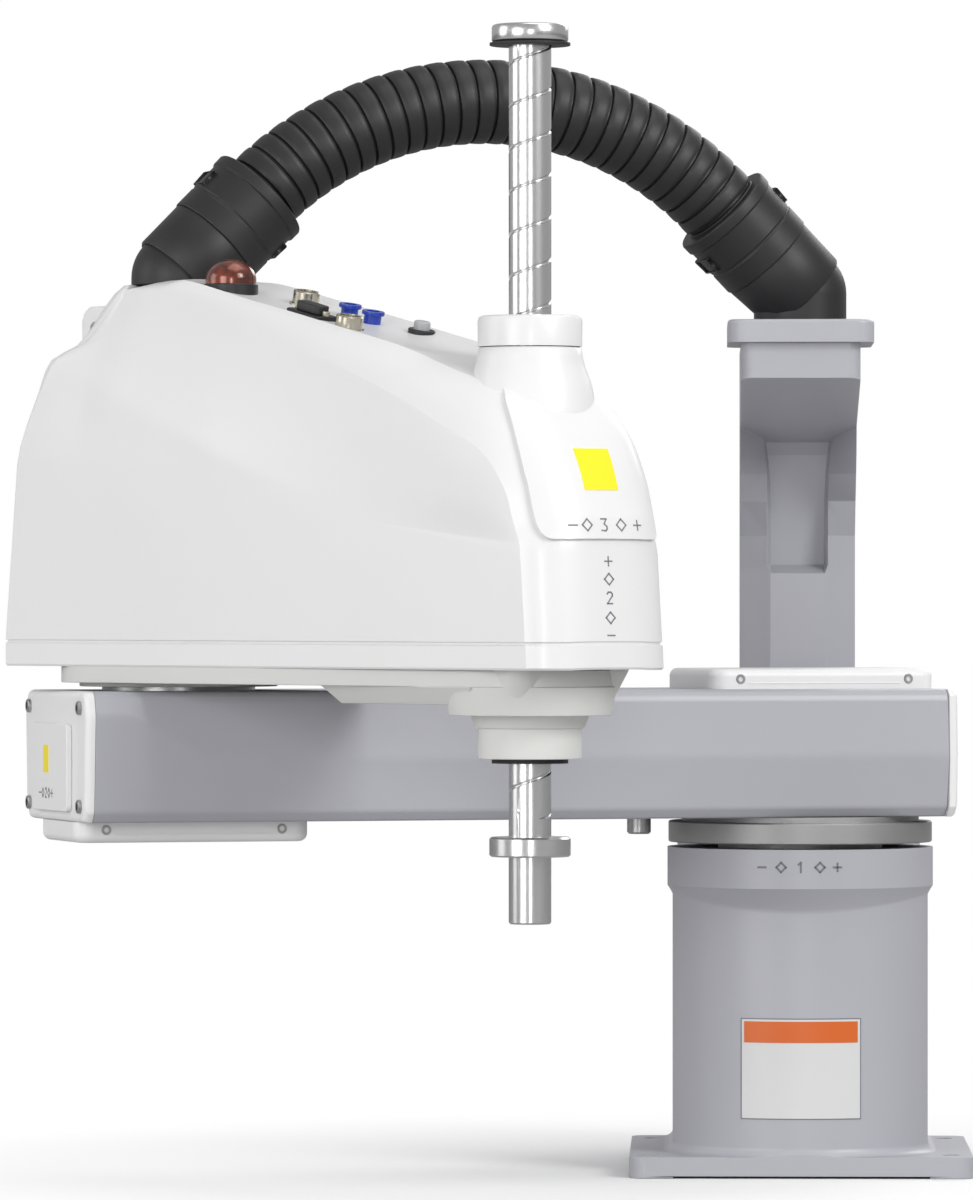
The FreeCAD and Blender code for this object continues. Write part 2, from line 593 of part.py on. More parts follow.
def make_output_disc():
    hub = d.j1_race_middle - d.hub_inset
    disc = new_body("j1_output_disc")
    spin(disc, [(0.0, d.j1_hub_low), (hub, d.j1_hub_low), (hub, d.disc_low), (d.disc_radius, d.disc_low),
                (d.disc_radius, d.disc_top), (d.disc_hub, d.disc_top), (d.disc_hub, d.arm1_low),
                (0.0, d.arm1_low)])
    dress(disc, "Chamfer", d.disc_edge,
          lambda edge: abs(edge.BoundBox.XLength - number(d.disc_radius) * 2) < 0.01)
    keep(disc, "j1_output_disc", "arm1")
    cup = new_body("j1_flexspline")
    low = d.seat_height + d.cup_rise
    inner = d.j1_cup_radius - d.cup_wall
    roof = d.j1_hub_low - d.cup_floor
    spin(cup, [(inner, low), (d.j1_cup_radius, low), (d.j1_cup_radius, d.j1_hub_low), (0.0, d.j1_hub_low),
               (0.0, roof), (inner, roof)])
    keep(cup, "j1_flexspline", "arm1")
    race = tube("j1_bearing_inner", d.j1_race_middle - d.race_gap, d.j1_race_inner,
                d.j1_race_low + d.race_rise, d.j1_hub_low)
    keep(race, "j1_bearing_inner", "arm1")


def arm1_section(sketch, inset=0.0):
    """Cross section of arm 1: widest at the crease, with a bevel along each edge."""
    low = d.arm1_low + inset
    high = d.arm1_top - inset
    crease = d.arm1_low + d.arm1_crease
    wide = d.arm1_half - inset
    side = wide - d.arm1_lean
    outline(sketch, [(inset - d.arm1_half_low, low), (d.arm1_half_low - inset, low),
                     (side, low + d.arm1_bottom_bevel), (wide, crease), (side, high - d.arm1_top_bevel),
                     (d.arm1_half_top - inset, high), (inset - d.arm1_half_top, high),
                     (-side, high - d.arm1_top_bevel), (-wide, crease), (-side, low + d.arm1_bottom_bevel)])


def make_arm1_casting():
    body = new_body("arm1_casting")
    section = new_sketch(body, "YZ_Plane", -d.arm1_end)
    arm1_section(section)
    pad(body, section, d.arm1_length + d.arm1_end * 2)
    hollow = new_sketch(body, "YZ_Plane", d.arm1_length + d.arm1_end + d.cut_margin)
    wall = d.arm1_wall
    rectangle(hollow, wall - d.arm1_half_low, d.arm1_half_low - wall, d.arm1_low + wall, d.arm1_top - wall)
    pocket(body, hollow, d.arm1_length + (d.arm1_end + d.cut_margin) * 2)
    boss = new_sketch(body, "XY_Plane", d.arm1_low + d.arm1_boss_gap)
    ring(boss, d.arm1_length, 0.0, d.j2_race_outer + d.j2_boss_wall)
    pad(body, boss, d.arm1_height - d.arm1_boss_gap * 2)
    seat = new_sketch(body, "XY_Plane", d.arm1_top)
    ring(seat, d.arm1_length, 0.0, d.j2_race_outer)
    pocket(body, seat, d.arm1_top - d.j2_race_low)
    well = new_sketch(body, "XY_Plane", d.arm1_top)
    ring(well, d.arm1_length, 0.0, d.j2_race_outer - d.j2_step)
    pocket(body, well, d.arm1_height - d.j2_bore_floor)
    return keep(body, "arm1_casting", "arm1")


def make_end_cover(name, along, turn):
    """Cover plate over one open end of arm 1, rounded at its outer edge."""
    body = new_body(name)
    sketch = new_sketch(body, "YZ_Plane", along if turn > 0 else along - d.end_cover_thick)
    arm1_section(sketch)
    pad(body, sketch, d.end_cover_thick)
    outer = number(along + d.end_cover_thick) if turn > 0 else number(along - d.end_cover_thick)
    dress(body, "Fillet", d.end_cover_edge, lambda edge: abs(centre_of(edge).x - outer) < 0.01
          and edge.BoundBox.XLength < 0.01)
    if turn > 0:
        raised = new_sketch(body, "YZ_Plane", along + d.end_cover_thick)
        mid = d.arm1_low + d.arm1_height * 0.5
        rectangle(raised, -d.end_pad_half, d.end_pad_half, mid - d.end_pad_drop, mid + d.end_pad_rise)
        pad(body, raised, d.end_pad_thick)
        face = outer + number(d.end_pad_thick)
        dress(body, "Fillet", d.end_pad_edge, lambda edge: abs(centre_of(edge).x - face) < 0.01
              and edge.BoundBox.XLength < 0.01)
    keep(body, name, "arm1")


def make_flat_cover(name, along, low, inverted):
    """Rounded box cover over the joint at one end of arm 1."""
    body = new_body(name)
    sketch = new_sketch(body, "XY_Plane", low)
    rectangle(sketch, -d.cover_length * 0.5, d.cover_length * 0.5, -d.cover_width * 0.5, d.cover_width * 0.5)
    pad(body, sketch, d.cover_height)
    dress(body, "Fillet", d.cover_corner, is_upright)
    outer = low if inverted else low + d.cover_height
    dress(body, "Fillet", d.cover_edge, lambda edge: at_height(edge, outer))
    keep(body, name, "arm1", along)


def make_arm1_covers():
    make_end_cover("arm1_outer_end_cover", d.arm1_length + d.arm1_end, 1)
    make_end_cover("arm1_inner_end_cover", -d.arm1_end, -1)
    make_flat_cover("arm1_top_cover", 0.0, d.arm1_top, False)
    make_flat_cover("arm1_bottom_cover", d.arm1_length + d.bottom_cover_offset, d.arm1_low - d.cover_height,
                    True)
    side = d.arm1_half_low - d.end_screw_side
    outer_spots = []
    inner_spots = []
    for y in (-side, side):
        for z in (d.arm1_low + d.end_screw_level, d.arm1_top - d.end_screw_level):
            outer_spots.append((d.arm1_length + d.arm1_end + d.end_cover_thick, y, z))
            inner_spots.append((-d.arm1_end - d.end_cover_thick, y, z))
    outer = screws("arm1_outer_screws", outer_spots, Vector(1, 0, 0))
    inner = screws("arm1_inner_screws", inner_spots, Vector(-1, 0, 0))
    keep(joined("arm1_cover_screws", [outer, inner], "Part::Compound"), "arm1_cover_screws", "arm1")
    peg = new_body("arm1_stop_peg")
    low = d.arm1_low - d.peg_height
    spin(peg, [(0.0, low), (d.peg_radius - d.peg_edge, low), (d.peg_radius, low + d.peg_edge),
               (d.peg_radius, d.arm1_low), (0.0, d.arm1_low)])
    keep(peg, "arm1_stop_peg", "arm1", d.peg_along)


def make_elbow_drive():
    race_top = d.j2_race_low + d.race_height
    outer = tube("j2_bearing_outer", d.j2_race_outer - d.running_gap, d.j2_race_middle + d.race_gap,
                 d.j2_race_low, race_top)
    keep(outer, "j2_bearing_outer", "arm1", d.arm1_length)
    inner = tube("j2_bearing_inner", d.j2_race_middle - d.race_gap, d.j2_race_inner,
                 d.j2_race_low + d.race_rise, d.turret_low)
    keep(inner, "j2_bearing_inner", "arm2")
    spline_low = d.j2_race_low + d.j2_spline_rise
    spline = tube("j2_circular_spline", d.j2_race_inner - d.running_gap, d.j2_cup_radius + d.moving_gap,
                  spline_low, d.turret_low)
    keep(spline, "j2_circular_spline", "arm2")
    cup = new_body("j2_flexspline")
    floor = d.arm1_low + d.j2_bore_floor
    wall = d.j2_cup_radius - d.cup_wall
    cup_top = d.turret_low - d.cup_drop
    spin(cup, [(0.0, floor), (d.j2_cup_radius, floor), (d.j2_cup_radius, cup_top), (wall, cup_top),
               (wall, floor + d.cup_floor), (0.0, floor + d.cup_floor)])
    keep(cup, "j2_flexspline", "arm1", d.arm1_length)
    rotor = new_body("j2_wave_generator")
    plug = wall - d.moving_gap
    plug_top = spline_low + d.plug_height
    shaft_top = d.floor_top + d.motor_well
    spin(rotor, [(0.0, spline_low), (plug, spline_low), (plug, plug_top), (d.j2_shaft_radius, plug_top),
                 (d.j2_shaft_radius, shaft_top), (0.0, shaft_top)])
    keep(rotor, "j2_wave_generator", "arm2")
    motor = new_body("j2_motor")
    top = d.floor_top + d.j2_motor_height
    bore = d.j2_shaft_radius + d.moving_gap
    well = shaft_top + d.moving_gap
    spin(motor, [(bore, d.floor_top), (d.j2_motor_radius, d.floor_top),
                 (d.j2_motor_radius, top - d.j2_motor_edge), (d.j2_motor_radius - d.j2_motor_edge, top),
                 (0.0, top), (0.0, well), (bore, well)])
    keep(motor, "j2_motor", "arm2")


def make_arm2_casting():
    body = new_body("arm2_casting")
    floor = new_sketch(body, "XY_Plane", d.floor_low)
    rear = d.floor_rear
    nose = d.floor_nose
    outline(floor, [(0.0, -rear), (d.arm2_length, -nose, nose), (d.arm2_length + nose, 0.0, nose),
                    (d.arm2_length, nose), (0.0, rear, rear), (-rear, 0.0, rear)])
    pad(body, floor, d.floor_thick)
    shelf = new_sketch(body, "XY_Plane", d.floor_low - d.shelf_depth)
    rectangle(shelf, d.shelf_start, d.arm2_length, -d.shelf_half, d.shelf_half)
    pad(body, shelf, d.shelf_depth, taper=d.shelf_draft)
    turret = new_sketch(body, "XY_Plane", d.turret_low)
    ring(turret, 0.0, 0.0, d.turret_radius)
    pad(body, turret, d.turret_height)
    boss = new_sketch(body, "XY_Plane", d.boss_low)
    ring(boss, d.arm2_length, 0.0, d.boss_radius)
    pad(body, boss, d.boss_depth, taper=d.boss_draft)
    cone = new_sketch(body, "XY_Plane", d.cone_low)
    ring(cone, d.arm2_length, 0.0, d.cone_bottom)
    pad(body, cone, d.cone_depth, taper=d.cone_draft)
    spigot = new_sketch(body, "XY_Plane", d.spigot_low)
    ring(spigot, d.arm2_length, 0.0, d.spigot_radius)
    pad(body, spigot, d.spigot_depth)
    bore = new_sketch(body, "XY_Plane", d.floor_top)
    ring(bore, d.arm2_length, 0.0, d.nut_race_radius)
    pocket(body, bore, d.floor_top - d.spigot_low - d.race_seat_floor)
    throat = new_sketch(body, "XY_Plane", d.floor_top)
    ring(throat, d.arm2_length, 0.0, d.shaft_radius + d.throat_gap)
    pocket(body, throat, d.floor_top - d.spigot_low)
    passage = new_sketch(body, "XY_Plane", d.floor_top)
    ring(passage, 0.0, 0.0, d.j2_shaft_radius + d.passage_gap)
    pocket(body, passage, d.floor_top - d.turret_low)
    return keep(body, "arm2_casting", "arm2")


def hood_section(sketch, letter, inset):
    """Outline of the hood at one height: round rear, straight sides, and a front with two facets."""
    def value(key):
        return getattr(d, f"hood_{key}_{letter}")
    rear = value("rear") - inset
    corner = value("rear_corner") + inset
    half = value("rear_half") - inset
    datum = d.arm2_length if letter in HOOD_LETTERS[:len(HOOD_SIDES)] else 0.0
    shoulder = value("shoulder") + datum - inset
    shoulder_half = value("shoulder_half") - inset
    front = value("front") + datum - inset
    front_half = value("front_half") - inset * 0.5
    centre = (corner * corner + half * half - rear * rear) / (2 * (rear + corner))
    outline(sketch, [(corner, -half), (shoulder, -shoulder_half), (front, -front_half), (front, front_half),
                     (shoulder, shoulder_half), (corner, half, centre + rear)])


def make_hood():
    body = new_body("hood")
    for inset, kind in ((0.0, "Additive"), (d.hood_wall, "Subtractive")):
        sections = []
        letters = HOOD_LETTERS if kind == "Additive" else HOOD_LETTERS[:-1]
        for letter in letters:
            level = d.floor_top + getattr(d, f"hood_level_{letter}")
            if kind == "Subtractive" and letter == letters[-1]:
                level = level - d.hood_crown_gap
            sketch = new_sketch(body, "XY_Plane", level)
            hood_section(sketch, letter, inset)
            sections.append(sketch)
        loft = body.newObject(f"PartDesign::{kind}Loft", f"hood_{kind}")
        loft.Profile = sections[0]
        loft.Sections = sections[1:]
        loft.Ruled = True
    return body


def make_tower(body):
    """Cone and neck that rise from the hood around the shaft, with the bore through them."""
    axis = d.arm2_length
    base = d.floor_top + d.tower_base_height
    neck = d.floor_top + d.tower_height
    cone = new_sketch(body, "XY_Plane", base)
    ring(cone, axis, 0.0, d.tower_base)
    top = new_sketch(body, "XY_Plane", neck)
    ring(top, axis, 0.0, d.tower_radius)
    loft = body.newObject("PartDesign::AdditiveLoft", "hood_tower")
    loft.Profile = cone
    loft.Sections = [top]
    bore = new_sketch(body, "XY_Plane", neck)
    ring(bore, axis, 0.0, d.tower_bore)
    pocket(body, bore, d.tower_height - d.tower_base_height + d.tower_bore_depth)
    wide = new_sketch(body, "XY_Plane", base - d.cut_margin)
    ring(wide, axis, 0.0, d.tower_base - d.hood_wall - d.cut_margin)
    inner = new_sketch(body, "XY_Plane", neck - d.tower_roof)
    ring(inner, axis, 0.0, d.tower_radius - d.hood_wall)
    hollow = body.newObject("PartDesign::SubtractiveLoft", "hood_tower_hollow")
    hollow.Profile = wide
    hollow.Sections = [inner]
    cable_hole = new_sketch(body, "XY_Plane", d.hood_top + d.cut_margin)
    ring(cable_hole, 0.0, 0.0, d.duct_radius - d.duct_wall)
    pocket(body, cable_hole, d.hood_wall * 4)


def make_hood_ear(body):
    """Fixing lug on the slope behind the second axis."""
    sketch = new_sketch(body, "XZ_Plane")
    low = d.floor_top + d.ear_low
    high = d.floor_top + d.ear_high
    outline(sketch, [(-d.ear_rear, low), (-d.ear_front, low), (-d.ear_front, high),
                     (d.ear_top_inset - d.ear_rear, high), (-d.ear_rear, high - d.ear_slope)])
    pad(body, sketch, d.ear_half * 2, both_ways=True)


def cut_fitting_holes(body):
    """Holes in the hood's top for the lamp, the fittings and the brake button."""
    sketch = new_sketch(body, "XY_Plane", d.hood_top + d.cut_margin)
    gap = d.fitting_gap
    ring(sketch, d.lamp_along, d.lamp_side, d.lamp_rim + gap)
    ring(sketch, d.button_along, d.button_side, d.button_radius + d.moving_gap)
    for which in "ab":
        fitting = "round_" + which
        ring(sketch, getattr(d, fitting + "_along"), getattr(d, fitting + "_side"),
             d.round_fitting_radius + gap)
        ring(sketch, getattr(d, f"air_{which}_along"), d.air_side, d.air_fitting_radius + gap)
    half_length = d.block_length * 0.5 + gap
    half_width = d.block_width * 0.5 + gap
    rectangle(sketch, d.block_along - half_length, d.block_along + half_length, d.block_side - half_width,
              d.block_side + half_width)
    pocket(body, sketch, d.fitting_cut)


def make_hood_pieces():
    body = make_hood()
    make_tower(body)
    make_hood_ear(body)
    cut_fitting_holes(body)
    keep(body, "hood", "arm2")
    collar_high = d.tower_top + d.tower_collar_height
    collar = tube("top_collar", d.tower_radius, d.shaft_radius + d.collar_gap, d.tower_top, collar_high)
    dress(collar, "Fillet", d.collar_edge, lambda edge: at_height(edge, collar_high)
          and edge.BoundBox.XLength > 40.0)
    keep(collar, "top_collar", "arm2", d.arm2_length)
    seal = tube("lower_seal_ring", d.seal_radius, d.shaft_radius + d.seal_gap, d.spigot_low - d.seal_depth,
                d.spigot_low)
    keep(seal, "lower_seal_ring", "arm2", d.arm2_length)


def make_top_fittings():
    """Lamp, plugs, air fittings and brake button on the hood's sloping top."""
    top = d.floor_top + d.lamp_level + d.lamp_rise
    lamp = new_body("lamp_base")
    spin(lamp, [(0.0, top - d.fitting_height), (d.lamp_rim, top - d.fitting_height), (d.lamp_rim, top),
                (0.0, top)])
    keep(lamp, "lamp_base", "arm2", d.lamp_along, d.lamp_side)
    dome = new_body("lamp_dome")
    spin(dome, [(0.0, top), (d.lamp_radius, top, d.lamp_radius), (0.0, top + d.lamp_radius)])
    keep(dome, "lamp_dome", "arm2", d.lamp_along, d.lamp_side)
    plugs = []
    for which in "ab":
        low = d.floor_top + getattr(d, f"round_{which}_level") - d.fitting_height * 0.5
        plugs.append(cylinder(f"round_plug_{which}", d.round_fitting_radius, d.fitting_height,
                              getattr(d, f"round_{which}_along"), getattr(d, f"round_{which}_side"), low))
    keep(joined("round_connectors", plugs, "Part::Compound"), "round_connectors", "arm2")
    fittings = []
    for which in "ab":
        low = d.floor_top + getattr(d, f"air_{which}_level") - d.fitting_height * 0.5
        fittings.append(cylinder(f"air_fitting_{which}", d.air_fitting_radius, d.fitting_height,
                                 getattr(d, f"air_{which}_along"), d.air_side, low))
    keep(joined("user_air_fittings", fittings, "Part::Compound"), "user_air_fittings", "arm2")
    block = new_body("dsub_connector")
    low = d.floor_top + d.block_level - d.fitting_height * 0.5
    sketch = new_sketch(block, "XY_Plane", low)
    rectangle(sketch, -d.block_length * 0.5, d.block_length * 0.5, -d.block_width * 0.5, d.block_width * 0.5)
    pad(block, sketch, d.fitting_height)
    dress(block, "Fillet", d.block_corner, is_upright)
    keep(block, "dsub_connector", "arm2", d.block_along, d.block_side)
    button = new_body("brake_button")
    low = d.floor_top + d.button_level - d.fitting_height * 0.5
    high = low + d.fitting_height
    spin(button, [(0.0, low), (d.button_radius, low), (d.button_radius, high - d.button_edge),
                  (d.button_radius - d.button_edge, high), (0.0, high)])
    keep(button, "brake_button", "arm2", d.button_along, d.button_side)


def make_shaft_parts():
    axis = d.arm2_length
    shaft = tube("shaft", d.shaft_radius, d.shaft_bore, d.shaft_low, d.shaft_high)
    dress(shaft, "Chamfer", d.shaft_edge,
          lambda edge: at_height(edge, d.shaft_low) and edge.BoundBox.XLength > number(d.shaft_radius))
    groove_low = d.ring_low - d.groove_height
    groove_floor = d.shaft_radius - d.groove_depth
    outside = d.shaft_radius + d.cut_margin
    spin(shaft, [(groove_floor, groove_low), (outside, groove_low), (outside, d.ring_low),
                 (groove_floor, d.ring_low)], cut=True)
    keep(shaft, "shaft", "arm2", axis)
    cap = new_body("top_cap")
    low = d.shaft_high - d.cap_socket
    top = low + d.cap_height
    spin(cap, [(d.shaft_bore, d.shaft_high), (d.shaft_radius + d.running_gap, d.shaft_high),
               (d.shaft_radius + d.running_gap, low), (d.cap_radius, low), (d.cap_radius, top - d.cap_edge),
               (d.cap_radius - d.cap_edge, top), (d.shaft_bore, top)])
    keep(cap, "top_cap", "arm2", axis)
    bumper = tube("cap_bumper", d.bumper_radius, d.shaft_radius + d.running_gap, low - d.bumper_height, low)
    keep(bumper, "cap_bumper", "arm2", axis)
    stop = tube("stop_ring", d.ring_radius, d.shaft_radius + d.running_gap, d.ring_low,
                d.ring_low + d.ring_height)
    dress(stop, "Chamfer", d.ring_edge,
          lambda edge: edge.BoundBox.XLength > number(d.ring_radius) and edge.BoundBox.ZLength < 0.01)
    keep(stop, "stop_ring", "arm2", axis)


def pulley_profile(inner, rim, low):
    """Profile of a belt pulley: a rim between two flanges."""
    top = low + d.pulley_height
    lip = d.pulley_flange
    return [(inner, low), (rim + lip, low), (rim + lip, low + lip), (rim, low + lip), (rim, top - lip),
            (rim + lip, top - lip), (rim + lip, top), (inner, top)]


def make_nuts():
    axis = d.arm2_length
    inner = d.shaft_radius + d.running_gap
    race_low = d.spigot_low + d.race_seat_floor
    race = tube("spline_nut_bearing", d.nut_race_radius, d.nut_radius + d.moving_gap, race_low, race_low +
                d.nut_race_height)
    keep(race, "spline_nut_bearing", "arm2", axis)
    nut = new_body("spline_nut")
    nut_low = race_low + d.nut_rise
    nut_top = nut_low + d.nut_height
    spin(nut, [(inner, nut_low), (d.nut_radius, nut_low), (d.nut_radius, nut_top), (inner, nut_top)])
    keep(nut, "spline_nut", "arm2", axis)
    wheel = new_body("u_pulley")
    spin(wheel, pulley_profile(inner + d.pulley_gap, d.pulley_radius, nut_top))
    keep(wheel, "u_pulley", "arm2", axis)
    pulley_low = d.floor_top + d.screw_pulley_level
    pulley_top = pulley_low + d.pulley_height
    screw = tube("screw_nut", d.screw_nut_radius, inner, pulley_top, pulley_top + d.screw_nut_height)
    keep(screw, "screw_nut", "arm2", axis)
    wheel = new_body("z_pulley")
    spin(wheel, pulley_profile(inner + d.pulley_gap, d.pulley_radius, pulley_low))
    keep(wheel, "z_pulley", "arm2", axis)
    table = d.floor_top + d.z_table_level
    race = tube("screw_nut_bearing", d.screw_race_radius, d.screw_nut_radius + d.moving_gap, table,
                table + d.screw_race_height)
    keep(race, "screw_nut_bearing", "arm2", axis)
    return nut_top, pulley_low


def make_motor(name, along, table, pulley_low):
    """Servo motor above its table, with the output shaft and pulley below the table."""
    body = new_body(name)
    base = d.floor_top + table + d.table_thick
    sketch = new_sketch(body, "XY_Plane", base)
    rectangle(sketch, -d.motor_half, d.motor_half, -d.motor_half, d.motor_half)
    pad(body, sketch, d.motor_height)
    dress(body, "Fillet", d.motor_corner, is_upright)
    well = new_sketch(body, "XY_Plane", base)
    ring(well, 0.0, 0.0, d.motor_shaft_radius + d.moving_gap)
    pocket(body, well, d.wrist_motor_well, upward=True)
    keep(body, name, "arm2", along)
    pulley = new_body(name + "_pulley")
    spin(pulley, pulley_profile(0.0, d.motor_pulley_radius, pulley_low))
    stem = new_sketch(pulley, "XY_Plane", pulley_low + d.pulley_height)
    ring(stem, 0.0, 0.0, d.motor_shaft_radius)
    pad(pulley, stem, base + d.wrist_shaft_rise - pulley_low - d.pulley_height)
    keep(pulley, name + "_pulley", "arm2", along)


def make_belt(name, along, pulley_low):
    """Belt round a large pulley on the shaft axis and a small one at the motor."""
    body = new_body(name)
    low = pulley_low + (d.pulley_height - d.belt_width) * 0.5
    run = d.arm2_length - along
    for swell, adds in ((d.belt_thick, True), (0.0, False)):
        big = d.pulley_radius + d.moving_gap + swell
        small = d.motor_pulley_radius + d.moving_gap + swell
        lean = (big - small) / run
        rise = root(1 - lean * lean)
        sketch = new_sketch(body, "XY_Plane", low if adds else low + d.belt_width)
        outline(sketch, belt_corners(along, big, small, lean, rise))
        if adds:
            pad(body, sketch, d.belt_width)
        else:
            pocket(body, sketch, d.belt_width)
    keep(body, name, "arm2")


def belt_corners(along, big, small, lean, rise):
    axis = d.arm2_length
    return [(along - small * lean, -small * rise), (axis - big * lean, -big * rise, big),
            (axis + big, 0.0, big),
            (axis - big * lean, big * rise), (along - small * lean, small * rise, small),
            (along - small, 0.0, small)]


def make_motor_table():
    """Two tables that carry the wrist motors, the upper one also the screw nut's bearing."""
    body = new_body("motor_bracket")
    upper = d.floor_top + d.z_table_level
    top = new_sketch(body, "XY_Plane", upper)
    rectangle(top, d.z_motor_along - d.motor_half - d.table_edge,
              d.arm2_length + d.screw_race_radius + d.table_edge, -d.table_half, d.table_half)
    pad(body, top, d.table_thick)
    for side in (-1, 1):
        leg = new_sketch(body, "XY_Plane", d.floor_top)
        far = side * d.table_half
        near = side * (d.table_half - d.leg_thick)
        low, high = (far, near) if side < 0 else (near, far)
        leg_start = d.z_motor_along + d.leg_offset
        rectangle(leg, leg_start, leg_start + d.leg_length, low, high)
        pad(body, leg, d.z_table_level)
    seat = new_sketch(body, "XY_Plane", upper + d.table_thick)
    ring(seat, d.arm2_length, 0.0, d.screw_race_radius)
    ring(seat, d.z_motor_along, 0.0, d.motor_shaft_radius + d.stem_gap)
    pocket(body, seat, d.table_thick)
    keep(body, "motor_bracket", "arm2")
    lower = new_body("u_motor_bracket")
    level = d.floor_top + d.u_table_level
    plate = new_sketch(lower, "XY_Plane", level)
    rectangle(plate, d.u_motor_along - d.motor_half, d.u_motor_along + d.motor_half, -d.table_half,
              d.table_half)
    pad(lower, plate, d.table_thick)
    for side in (-1, 1):
        leg = new_sketch(lower, "XY_Plane", d.floor_top)
        far = side * d.table_half
        near = side * (d.table_half - d.leg_thick)
        low, high = (far, near) if side < 0 else (near, far)
        rectangle(leg, d.u_motor_along - d.motor_half, d.u_motor_along + d.motor_half, low, high)
        pad(lower, leg, d.u_table_level)
    hole = new_sketch(lower, "XY_Plane", level + d.table_thick)
    ring(hole, d.u_motor_along, 0.0, d.motor_shaft_radius + d.stem_gap)
    pocket(lower, hole, d.table_thick)
    keep(lower, "u_motor_bracket", "arm2")


def elbow_solids(name, radius, start, seat, corner_level, slope):
    """Round stub, knee and 45 degree run of one elbow, at the given radius."""
    stub = cylinder(f"{name}_stub", radius, corner_level - seat, start, 0.0, seat)
    knee = doc.addObject("Part::Sphere", f"{name}_knee")
    bind(knee, "Radius", radius)
    knee.Placement = Placement(Vector(number(start), 0, number(corner_level)), Rotation())
    bind(knee, "Placement.Base.x", start)
    bind(knee, "Placement.Base.z", corner_level)
    run = cylinder(f"{name}_run", radius, d.elbow_run, start, 0.0, corner_level, slope)
    return [stub, knee, run]


def duct_end(end, corner_level, seat, start, lean):
    """Elbow that swivels on a joint axis, and the coupling that joins it to the duct."""
    slope = Vector(lean * math.sqrt(0.5), 0, math.sqrt(0.5))
    name = f"{end}_elbow"
    skin = elbow_solids(f"{name}_skin", d.elbow_radius, start, seat, corner_level, slope)
    outer = joined(f"{name}_outer", skin)
    bore = d.duct_radius - d.duct_wall
    below = cylinder(f"{name}_below", d.elbow_radius * 2, d.elbow_radius * 2, start, 0.0,
                     seat - d.elbow_radius * 2)
    hollow = elbow_solids(f"{name}_bore", bore, start, seat, corner_level, slope)
    inner = joined(f"{name}_inner", hollow + [below])
    keep(cut_from(name, outer, inner), name, "arm1")
    across = d.elbow_run * math.sqrt(0.5)
    name = f"{end}_coupling"
    spot = (start + lean * across, 0.0, corner_level + across)
    shell = cylinder(f"{name}_shell", d.coupling_radius, d.coupling_length, *spot, slope)
    core = cylinder(f"{name}_core", bore, d.coupling_length, *spot, slope)
    depth = d.duct_entry + d.duct_end_gap
    inset = (d.coupling_length - depth) * math.sqrt(0.5)
    mouth_spot = (spot[0] + lean * inset, 0.0, spot[2] + inset)
    mouth = cylinder(f"{name}_mouth", d.duct_radius + d.duct_entry_gap, depth, *mouth_spot, slope)
    keep(cut_from(name, shell, joined(f"{name}_passage", [core, mouth])), name, "arm1")
    return across + d.coupling_length * math.sqrt(0.5)


def make_duct():
    low_corner = d.flange_top + d.post_corner_rise
    high_corner = d.hood_top + d.hood_corner_rise
    reach = duct_end("post", low_corner, d.flange_top + d.duct_seat_gap, 0.0, 1)
    duct_end("hood", high_corner, d.hood_top + d.duct_seat_gap, d.arm1_length, -1)
    chord = d.arm1_length - reach * 2
    drop = high_corner - low_corner
    span = root(chord * chord + drop * drop)
    radius = span * math.sqrt(0.5)
    bow = doc.addObject("Part::Torus", "duct_bow")
    core = doc.addObject("Part::Torus", "duct_core")
    middle_x = (d.arm1_length + drop) * 0.5
    middle_z = (low_corner + high_corner - chord) * 0.5 + reach
    entry_angle = d.duct_entry * math.degrees(1.0) / radius
    tilt = math.degrees(math.atan2(number(drop), number(chord)))
    for solid, across in ((bow, d.duct_radius), (core, d.duct_radius - d.duct_wall)):
        bind(solid, "Radius1", radius)
        bind(solid, "Radius2", across)
        bind(solid, "Angle3", entry_angle * 2 + 90.0)
        turn = Rotation(Vector(0, 1, 0), -tilt - 45.0 + number(entry_angle))
        solid.Placement = Placement(Vector(number(middle_x), 0, number(middle_z)),
                                    turn.multiply(Rotation(Vector(1, 0, 0), 90.0)))
        bind(solid, "Placement.Base.x", middle_x)
        bind(solid, "Placement.Base.z", middle_z)
    keep(cut_from("duct_conduit", bow, core), "duct_conduit", "arm1")


def check_and_write():
    doc.recompute()
    failed = [item.Label for item in doc.Objects if "Invalid" in item.State or "Error" in item.State]
    if failed:
        raise RuntimeError(f"failed: {failed}")
    os.makedirs("parts", exist_ok=True)
    for item in PARTS:
        shape = item.Shape
        if shape.isNull() or not shape.isValid() or not shape.Solids:
            raise RuntimeError(f"{item.Label} has no valid solid")
        shape.exportStep(f"parts/{item.Label}.step")
    print(len(PARTS), "parts written")


make_base_casting()
make_rear_post()
make_post_flange()
make_rear_panel()
make_base_drive()
make_output_disc()
make_arm1_casting()
make_arm1_covers()
make_elbow_drive()
make_arm2_casting()
make_hood_pieces()
make_top_fittings()
make_shaft_parts()
nut_pulley_low, screw_pulley_low = make_nuts()
make_motor("u_motor", d.u_motor_along, d.u_table_level, nut_pulley_low)
make_motor("z_motor", d.z_motor_along, d.z_table_level, screw_pulley_low)
make_belt("u_belt", d.u_motor_along, nut_pulley_low)
make_belt("z_belt", d.z_motor_along, screw_pulley_low)
make_motor_table()
make_duct()
check_and_write()
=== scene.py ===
import json
import math
import bmesh
import bpy
import numpy as np
from mathutils import Matrix, Vector


